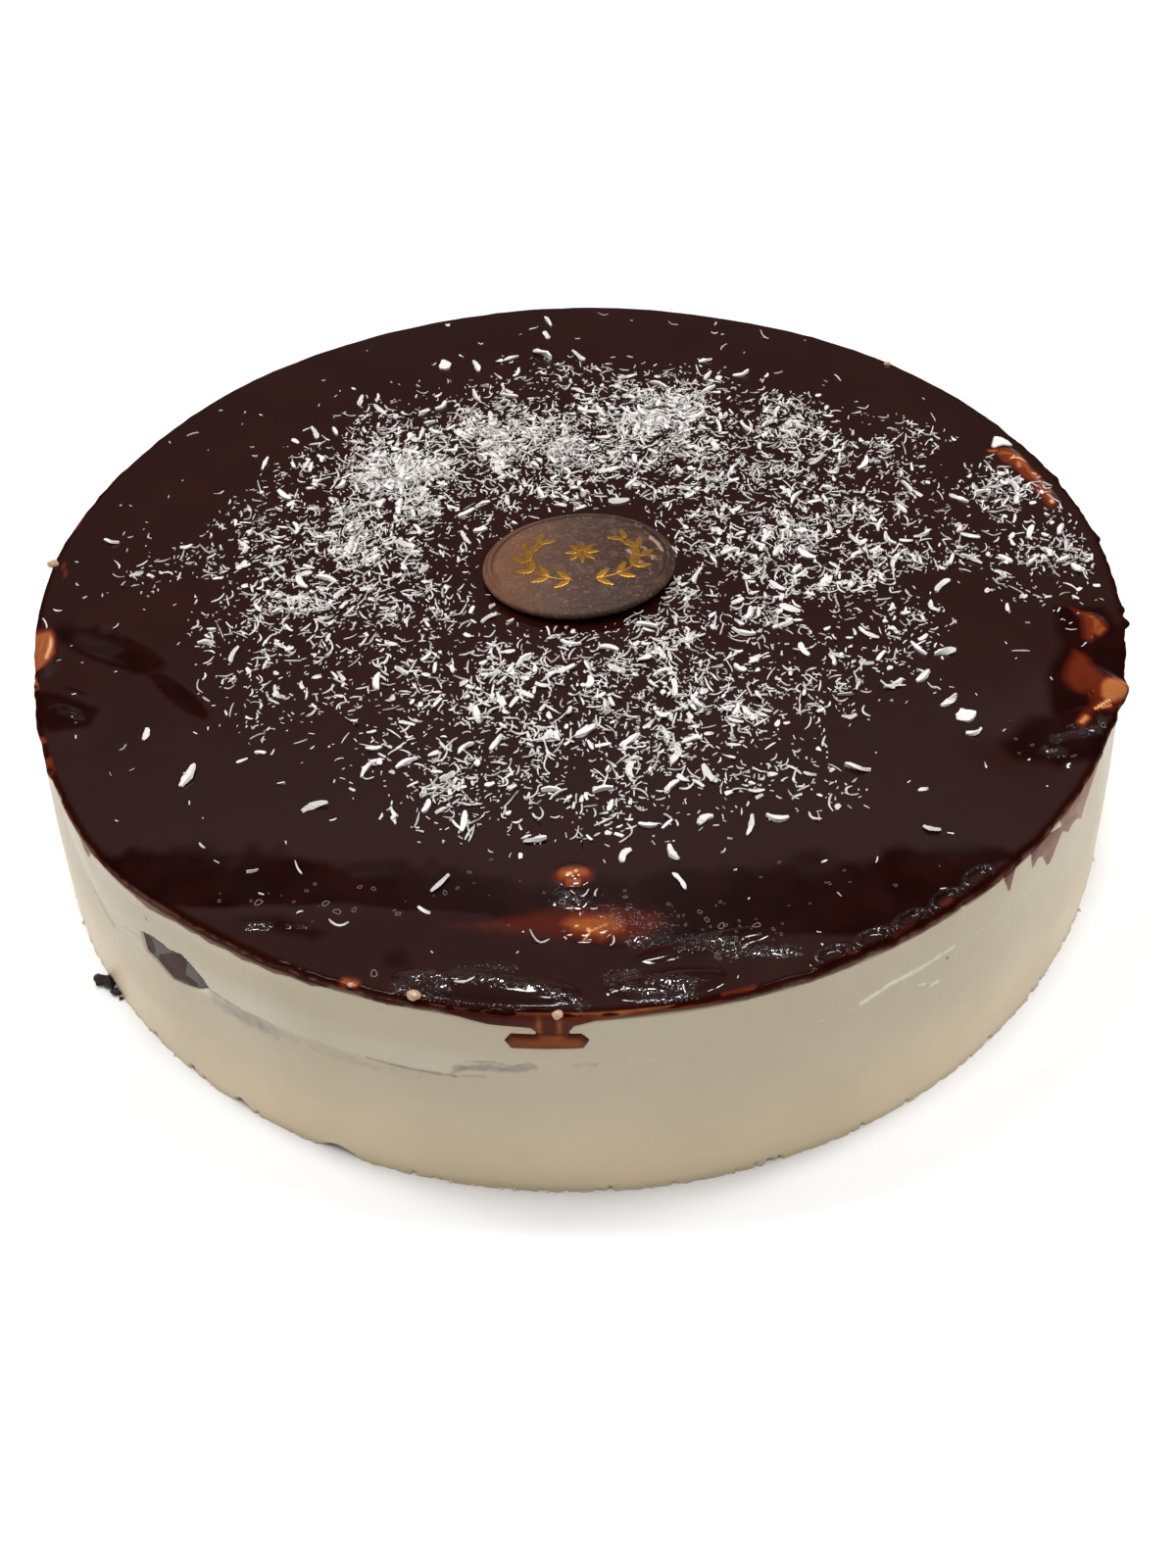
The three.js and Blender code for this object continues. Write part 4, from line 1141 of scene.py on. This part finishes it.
def strips_object(name, flakes, stations, heap, draw, material, thickness, tint, blunt):
    """Curved, twisted strips that rest on the glaze and on each other."""
    count = len(flakes)
    x, y, length, width, turn, curl, lift = flakes.T[:, :, None]
    along = np.linspace(-1, 1, stations)[None, :]
    c, s = np.cos(np.radians(turn)), np.sin(np.radians(turn))
    run, sway = along * length / 2, curl * along ** 2
    px, py = x + run * c - sway * s, y + run * s + sway * c
    thick = thickness[:, None]
    pz = np.array([heap.lay(px[i], py[i], thickness[i]) for i in range(count)])
    pz += thick * 0.5 - FLAKE_SINK * 0.3 + np.clip(along, 0, 1) * lift
    centre = np.stack([px, py, pz], -1)
    tangent = np.gradient(centre, axis=1)
    tangent /= np.linalg.norm(tangent, axis=-1, keepdims=True)
    twist = draw.normal(0, 0.5, (count, 1)) + along * draw.normal(0, 0.4, (count, 1))
    flat = np.cross(np.array([0, 0, 1.0]), tangent)
    flat /= np.linalg.norm(flat, axis=-1, keepdims=True)
    normal = np.cross(tangent, flat)
    side = flat * np.cos(twist)[..., None] + normal * np.sin(twist)[..., None]
    up = normal * np.cos(twist)[..., None] - flat * np.sin(twist)[..., None]
    power, ragged = draw.uniform(1.5, 5, (count, 1)), draw.uniform(0.75, 1.15, (count, stations))
    taper = (1 - blunt * np.abs(along) ** power) * ragged
    corner = np.radians((np.arange(SECTION) + 0.5) * 360 / SECTION)
    fill = 1 / math.cos(math.pi / SECTION)
    half_width, half_thick = width / 2 * taper * fill, thick / 2 * np.maximum(taper, 0.6) * fill
    across = side[:, :, None] * half_width[..., None, None] * np.cos(corner)[:, None]
    over = up[:, :, None] * half_thick[..., None, None] * np.sin(corner)[:, None]
    points = (centre[:, :, None] + across + over).reshape(-1, 3)
    last, size = (stations - 1) * SECTION, stations * SECTION
    caps = [(3, 2, 1, 0), (last, last + 1, last + 2, last + 3)]
    faces = [repeated(f, count, size) for f in (ring_faces(stations, SECTION), caps)]
    return mesh_object(name, points, faces, material, {"tint": np.repeat(tint, size)}, smooth=False)


def scattered(draw, count, length, width, curl, lift):
    """Places and sizes of strips, drawn where coconut lies."""
    found, total = [], 0
    reach = FLAKE_REACH + 3
    while total < count:
        x, y = draw.uniform(-reach, reach, (2, DRAWS_PER_ROUND))
        want = coconut_layers(x, y) * np.clip(0.85 + 0.7 * noise(x, y, 0, 9, 41), 0.1, 2)
        want = want * np.clip(1 + 0.8 * noise(x, y, 0, 3.4, 42), 0.2, 2)
        keep = draw.random(DRAWS_PER_ROUND) * 3 < want
        keep = keep & (np.hypot(x, y) < reach) & clear_of_plaque(x, y, 0.2)
        found.append(np.stack([x[keep], y[keep]], -1))
        total += keep.sum()
    place = np.concatenate(found)[:count]
    longest = length[0] + (length[1] - length[0]) * draw.random(count) ** 1.6
    widths, turns = draw.uniform(*width, count), draw.uniform(0, 360, count)
    curls, lifts = draw.normal(0, curl, count) * longest, np.abs(draw.normal(0, lift, count)) * longest
    return np.stack([*place.T, longest, widths, turns, curls, lifts], -1)


# Name, count, length, width, thickness, curl, lift, stations, blunt ends and whiteness.
COCONUT_KINDS = [
    ("coconut_specks", 10500, (0.4, 1.3), (0.18, 0.42), (0.12, 0.3), 0.03, 0.1, 2, 0.2, (0.1, 1)),
    ("coconut_threads", 4400, (1.3, 4.2), (0.22, 0.46), (0.16, 0.3), 0.15, 0.22, 6, 0.5, (0.15, 1)),
    ("coconut_chips", 1350, (1.3, 3.6), (0.5, 1.2), (0.14, 0.35), 0.05, 0.16, 4, 0.3, (0.6, 1)),
]
# The one flat white chip, near the rim on the right.
WHITE_CHIP = [
    (111.8, 49.8), (113.7, 48.7), (115, 46.8), (115.6, 44.9), (114.7, 44.1), (110.6, 44.4), (110.1, 45.3),
]


def make_chip(material):
    chip = film_object("white_chip", outline_patch(WHITE_CHIP, 0.3),
                       lambda x, y, rise: np.stack([x, y, glaze_top(x, y, fine=False) + rise], -1),
                       lambda x, y, depth: 0.35 + 0.5 * smooth_step(depth, 0, 0.5) + 0.08 * (x - 113),
                       lambda x, y, depth: 0.05 - 0.1 * smooth_step(depth, 0, 0.5), material,
                       {"tint": lambda x, y, depth: 1 + 0 * depth})
    return chip


def make_coconut():
    draw = np.random.default_rng(7)
    heap = Heap()
    material = coconut_look()
    flakes = large_flakes()
    thick, tint = np.full(len(flakes), FLAKE_THICKNESS), draw.uniform(0.75, 1, len(flakes))
    pieces = [strips_object("coconut_flakes", flakes, 6, heap, draw, material, thick, tint, 0.5)]
    for name, count, length, width, thickness, curl, lift, stations, blunt, whiteness in COCONUT_KINDS:
        strips = scattered(draw, count, length, width, curl, lift)
        thick, tint = draw.uniform(*thickness, count), draw.uniform(*whiteness, count) ** 0.8
        pieces.append(strips_object(name, strips, stations, heap, draw, material, thick, tint, blunt))
    return pieces + [make_chip(material)]


# ---------------------------------------------------------------- plaque
def plaque_height(x, y):
    """Height of the plaque's upper face over its own flat back."""
    out = np.hypot(x / (PLAQUE_LENGTH / 2), y / (PLAQUE_WIDTH / 2))
    dome = 2.2 + 2.8 * (1 - np.clip(out / 0.96, 0, 1) ** 2)
    back = smooth_step(y - 0.3 * x, -8, 6)
    ridge = 0.42 * bell(out - 0.93, 0.018) + 0.18 * bell(out - 0.85, 0.016) - 0.14 * bell(out - 0.89, 0.02)
    return dome + ridge * (0.25 + 0.75 * back)


def plaque_frame(x, y, z):
    """Plaque coordinates, from its flat back, to the cake's."""
    lean = math.radians(PLAQUE_LEAN)
    rise = math.sin(lean) * PLAQUE_LENGTH / 2
    turned_x = x * math.cos(lean) - z * math.sin(lean)
    turned_z = x * math.sin(lean) + z * math.cos(lean)
    return np.stack(np.broadcast_arrays(
        turned_x + PLAQUE_CENTRE[0], y + PLAQUE_CENTRE[1], turned_z + CAKE_HEIGHT + PLAQUE_GAP + rise), -1)


# Scuffs on the plaque, painted lighter as highlights on worn marks, in its own x and y: strength, width and
# path.
SCUFF_HIGHLIGHTS = [
    (0.7, 1.6, [(13.6, 3.4), (16, 1), (17.6, -2)]), (0.45, 0.4, [(-19, 4), (-15, 8.6), (-9, 12.2)]),
    (0.6, 0.3, [(11.6, 5), (13, 2)]), (0.6, 0.3, [(14.6, 4.4), (15.2, 0.8)]),
    (0.35, 0.8, [(-15.6, -9), (-12, -11.6)]), (0.9, 0.7, [(14, 12.5), (15.6, 11.4)]),
    (1, 0.8, [(17.4, 6.6), (19, 4.6), (20, 1.4)]), (0.8, 1.4, [(12, 0.4), (14, -2.6), (15.4, -5)]),
    (0.5, 0.6, [(-10, 10.6), (-8.6, 11.6)]), (0.5, 0.7, [(5, -14), (9, -12.6)]),
    (0.5, 0.8, [(14, -9), (18, -6.6)]), (0.4, 0.5, [(-14, -4), (-13.6, -4.4)]),
]


def make_plaque():
    angle = np.linspace(0, 2 * np.pi, 240, endpoint=False)[None, :]
    half = PLAQUE_LENGTH / 2
    bottom = [(0.5, 0.0), (0.94, 0.0), (0.97, 0.25), (0.99, 0.6), (1.0, 1.1), (0.997, 1.6), (0.985, 2.0)]
    outs = np.concatenate([np.linspace(0.965, 0.8, 22), np.linspace(0.78, 0.04, 30)])
    out = np.array([o for o, _ in bottom] + list(outs))[:, None]
    x, y = out * half * np.cos(angle), out * PLAQUE_WIDTH / 2 * np.sin(angle)
    low = np.array([z for _, z in bottom] + [0] * len(outs))[:, None]
    on_top = (np.arange(len(out)) >= len(bottom))[:, None]
    z = np.where(on_top, plaque_height(x, y), low) + 0.05 * noise(x, y, 0, 8, 51)
    worn = bell((x - 14) / 7) * bell((y - 1) / 9)
    moulded = 0.25 + 0.75 * smooth_step(y + 0.2 * x, -10, 4)
    # Painted shade in the rim's channel, stronger towards the back.
    groove_shade = moulded * np.maximum(bell(out - 0.9, 0.014), bell(out - 0.955, 0.012))
    values = {"worn": worn, "scuff_highlight": painted(x, y, [], SCUFF_HIGHLIGHTS), "groove_shade": groove_shade}
    poles = [plaque_frame(0.0, 0.0, 0.0), plaque_frame(0.0, 0.0, PLAQUE_HEIGHT)]
    plaque = revolved_object("plaque_oval", plaque_frame(x, y, z), poles, plaque_look(), values)
    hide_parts("plaque")
    return plaque


# Outline of a leaf of unit length.
LEAF = [
    (0, 0), (0.24, 0.16), (0.55, 0.18), (0.85, 0.09), (1, 0), (0.85, -0.09), (0.55, -0.18), (0.24, -0.16),
]
LEAF_SIZE = 5
WREATH_MIDDLE = (1, -0.5)
WREATH_HALF = (13.5, 9)
WREATH_ANGLES = (-78, 38)
LEAF_PAIRS = 6
STEM_WIDTH = 0.6
PETALS = 8
PETAL_SIZE = 4.4


def turned_leaf(x, y, angle, size):
    c, s = math.cos(angle) * size, math.sin(angle) * size
    return [(x + u * c - v * s, y + u * s + v * c) for u, v in LEAF]


def sprig_shapes():
    """Outlines of a common ornament: a wreath of two leafy sprigs round a flower."""
    middle_x, middle_y = WREATH_MIDDLE
    half_x, half_y = WREATH_HALF
    half_stem = STEM_WIDTH / 2
    shapes = []

    def on_wreath(angle, mirror, out=0.0):
        x, y = (half_x + out) * math.cos(angle), (half_y + out) * math.sin(angle)
        return middle_x + mirror * x, middle_y + y

    for mirror in (1, -1):
        angles = np.radians(np.linspace(*WREATH_ANGLES, 25))
        outer, inner = [[on_wreath(a, mirror, out) for a in angles] for out in (half_stem, -half_stem)]
        shapes.append(outer + inner[::-1])
        for angle in np.radians(np.linspace(*WREATH_ANGLES, LEAF_PAIRS)):
            x, y = on_wreath(angle, mirror)
            along = math.atan2(half_y * math.cos(angle), -mirror * half_x * math.sin(angle))
            shapes += [turned_leaf(x, y, along + spread, LEAF_SIZE) for spread in (0.6, -0.6)]
    for angle in np.linspace(0, 2 * math.pi, PETALS, endpoint=False):
        shapes.append(turned_leaf(middle_x, middle_y + 0.5, angle, PETAL_SIZE))
    return shapes


def make_ornament():
    """A plain gold sprig pressed on the plaque."""
    points, faces, start = [], {3: [], 4: []}, 0

    def place(x, y, offset):
        return plaque_frame(x, y, plaque_height(x, y) + offset)

    for outline in sprig_shapes():
        shape, sides, _ = film_shape(outline_patch(outline, 0.16), place,
                                     lambda x, y, depth: 0.02 + 0.1 * smooth_step(depth, 0, 0.3),
                                     lambda x, y, depth: -0.1 + 0 * depth)
        points.append(shape)
        for side in sides:
            faces[side.shape[1]].append(side + start)
        start += len(shape)
    faces = [np.concatenate(f) for f in faces.values() if f]
    ornament = mesh_object("gold_sprig", np.concatenate(points), faces, gold_look())
    return ornament


# ---------------------------------------------------------------- shard in the side, crumbs at the foot
# Parts of the shard that stay brown, free of the painted shade of the gap, on bearing and height.
BARE_SHARDS = [
    [(-133.6, 40), (-133.2, 40.8), (-132.5, 40.7), (-132.3, 38.1), (-132.7, 35.7), (-133.3, 35),
     (-133.7, 36.4)],
    [(-132.1, 36.2), (-131.8, 37.3), (-130.4, 39.8), (-129, 41.9), (-128.1, 42.5), (-127.9, 41.2),
     (-128.4, 38), (-128.6, 36.2), (-127.2, 35.5), (-127.1, 34.8), (-127.6, 33.8), (-129, 33.6),
     (-130.4, 32.4), (-131.8, 34), (-132.1, 35)],
]


def make_shard():
    def front(s, z, depth):
        return -SUNK + 0.15 * np.abs(noise(s, z, 0, 5, 61)) * smooth_step(depth, 0, 1)

    def back(s, z, depth):
        return -SUNK - 1.7 * smooth_step(depth, 0, 2)

    # Painted shade over all but the bare parts.
    def gap_shade(s, z, depth):
        bare = [signed_distance(s, z, along_side(outline, SHARD_BEARING)) for outline in BARE_SHARDS]
        return np.clip(0.5 - np.max(bare, 0), 0, 1)

    patch = outline_patch(SHARD_OUTLINE, 0.25)
    shard = film_object("shard", patch, on_side(SHARD_BEARING), front, back, shard_look(), {"gap_shade": gap_shade})
    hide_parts("side_shard")
    return shard


# Half sizes and place of each dark crumb.
DARK_CRUMBS = [
    ((2.2, 1.5, 1.1), (-111.4, -75.4, 1.1)), ((1.2, 1.3, 1.5), (-109.8, -76.6, 1.3)),
    ((1.1, 0.8, 0.7), (-108.2, -78.8, 0.7)), ((0.6, 0.5, 0.4), (-113.6, -73.6, 0.4)),
    ((0.5, 0.4, 0.3), (-106.8, -80.2, 0.3)),
]
FOOT_CRUMB_COUNT = 260


def make_crumbs():
    """Dark crumbs on the left and many cream ones round the foot."""
    draw = np.random.default_rng(9)
    dark = [lump_points(draw, rough=0.75) * size + place for size, place in DARK_CRUMBS]
    crumb = joined_lumps("dark_crumbs", dark, crumb_look(), {})
    lumps = []
    while len(lumps) < FOOT_CRUMB_COUNT:
        bearing, size = draw.uniform(-180, 180), draw.uniform(0.15, 0.45)
        radius = side_radius(bearing, 0) - 1.2 * foot_notches(bearing) + draw.uniform(-0.8, 0.2)
        middle = (*at_bearing(radius, bearing), size * draw.uniform(0.4, 0.9))
        lump = lump_points(draw, 5, 7) * size * (1, 1, 0.8) + middle
        lump[..., 2] = np.maximum(lump[..., 2], 0.02)
        lumps.append(lump)
    # The crumbs carry a little of the notches' painted shade.
    values = {"line": 0, "painted_shade": 0, "white": 0, "pale": 0, "film": -FILM_REACH, "tone": 0, "notch_shade": 0.2}
    torn = joined_lumps("foot_crumbs", lumps, bpy.data.materials["cream"], values)
    return [crumb, torn]


# ---------------------------------------------------------------- studio
FLOOR_HALF = 12000


def make_floor():
    look = Look("floor", Roughness=0.8)
    look.set("Base Color", look.mix(look.noise(400, 2), srgb(251, 252, 254), srgb(248, 249, 251)))
    corners = FLOOR_HALF * np.array([(-1, -1, 0), (1, -1, 0), (1, 1, 0), (-1, 1, 0)])
    mesh_object("floor", corners, [np.array([[0, 1, 2, 3]])], look.material, smooth=False)


# The cake mirrors the lamps but not the soft panels: name, place and aim in metres, power in watts.
PANELS = [("left", (-1.25, 0.55, 0.8), (0, 0.1, 0), 9.8), ("right", (1.3, 0.55, 0.8), (0, 0.1, 0), 8.4)]
PANEL_WIDTH = 1.2
LAMPS = [
    ("lamp_a", (-0.36, 0.2, 1.1), (0, 0, 0), 2.7), ("lamp_b", (0.32, 0.16, 1.1), (0, 0, 0), 2.7),
    ("lamp_c", (-0.02, 0.02, 1.2), (0, 0, 0), 2.9), ("lamp_d", (0.1, -0.36, 1.1), (0, 0, 0), 2.5),
]
LAMP_WIDTH = 0.14
# Brightness of the surroundings from the horizon, 0, to straight up, 1.
SURROUNDINGS = [
    (0, 0.33), (0.3, 0.33), (0.44, 0.1), (0.52, 0.105), (0.62, 0.14), (0.74, 0.31), (0.85, 0.36), (1, 0.4),
]


def make_world():
    world = bpy.data.worlds.new("studio")
    world.use_nodes = True
    bpy.context.scene.world = world
    nodes, links = world.node_tree.nodes, world.node_tree.links
    split = nodes.new("ShaderNodeSeparateXYZ")
    ramp = nodes.new("ShaderNodeValToRGB")
    links.new(nodes.new("ShaderNodeTexCoord").outputs["Generated"], split.inputs[0])
    links.new(split.outputs["Z"], ramp.inputs["Fac"])
    links.new(ramp.outputs["Color"], nodes["Background"].inputs["Color"])
    set_stops(ramp, [(place, (level, level * 0.985, level * 0.97, 1)) for place, level in SURROUNDINGS])


def make_lights(lights, width, mirrored):
    for name, place, aim, power in lights:
        data = bpy.data.lights.new(name, "AREA")
        data.shape = "DISK"
        data.size = width
        data.energy = power
        light = placed(name, data)
        light.location = place
        light.rotation_euler = (Vector(aim) - Vector(place)).to_track_quat("-Z", "Y").to_euler()
        light.visible_glossy = mirrored


make_world()
make_lights(PANELS, PANEL_WIDTH, mirrored=False)
make_lights(LAMPS, LAMP_WIDTH, mirrored=True)
make_floor()
bpy.context.scene.view_settings.view_transform = "Standard"

pieces = [make_cream(), make_glaze(), make_drip(), make_beads()]
pieces.append(make_bubbles(bpy.data.materials["glaze"]))
pieces += make_coconut()
pieces += [make_plaque(), make_ornament(), make_shard()]
pieces += make_crumbs()
for piece in pieces:
    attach(piece, "root")
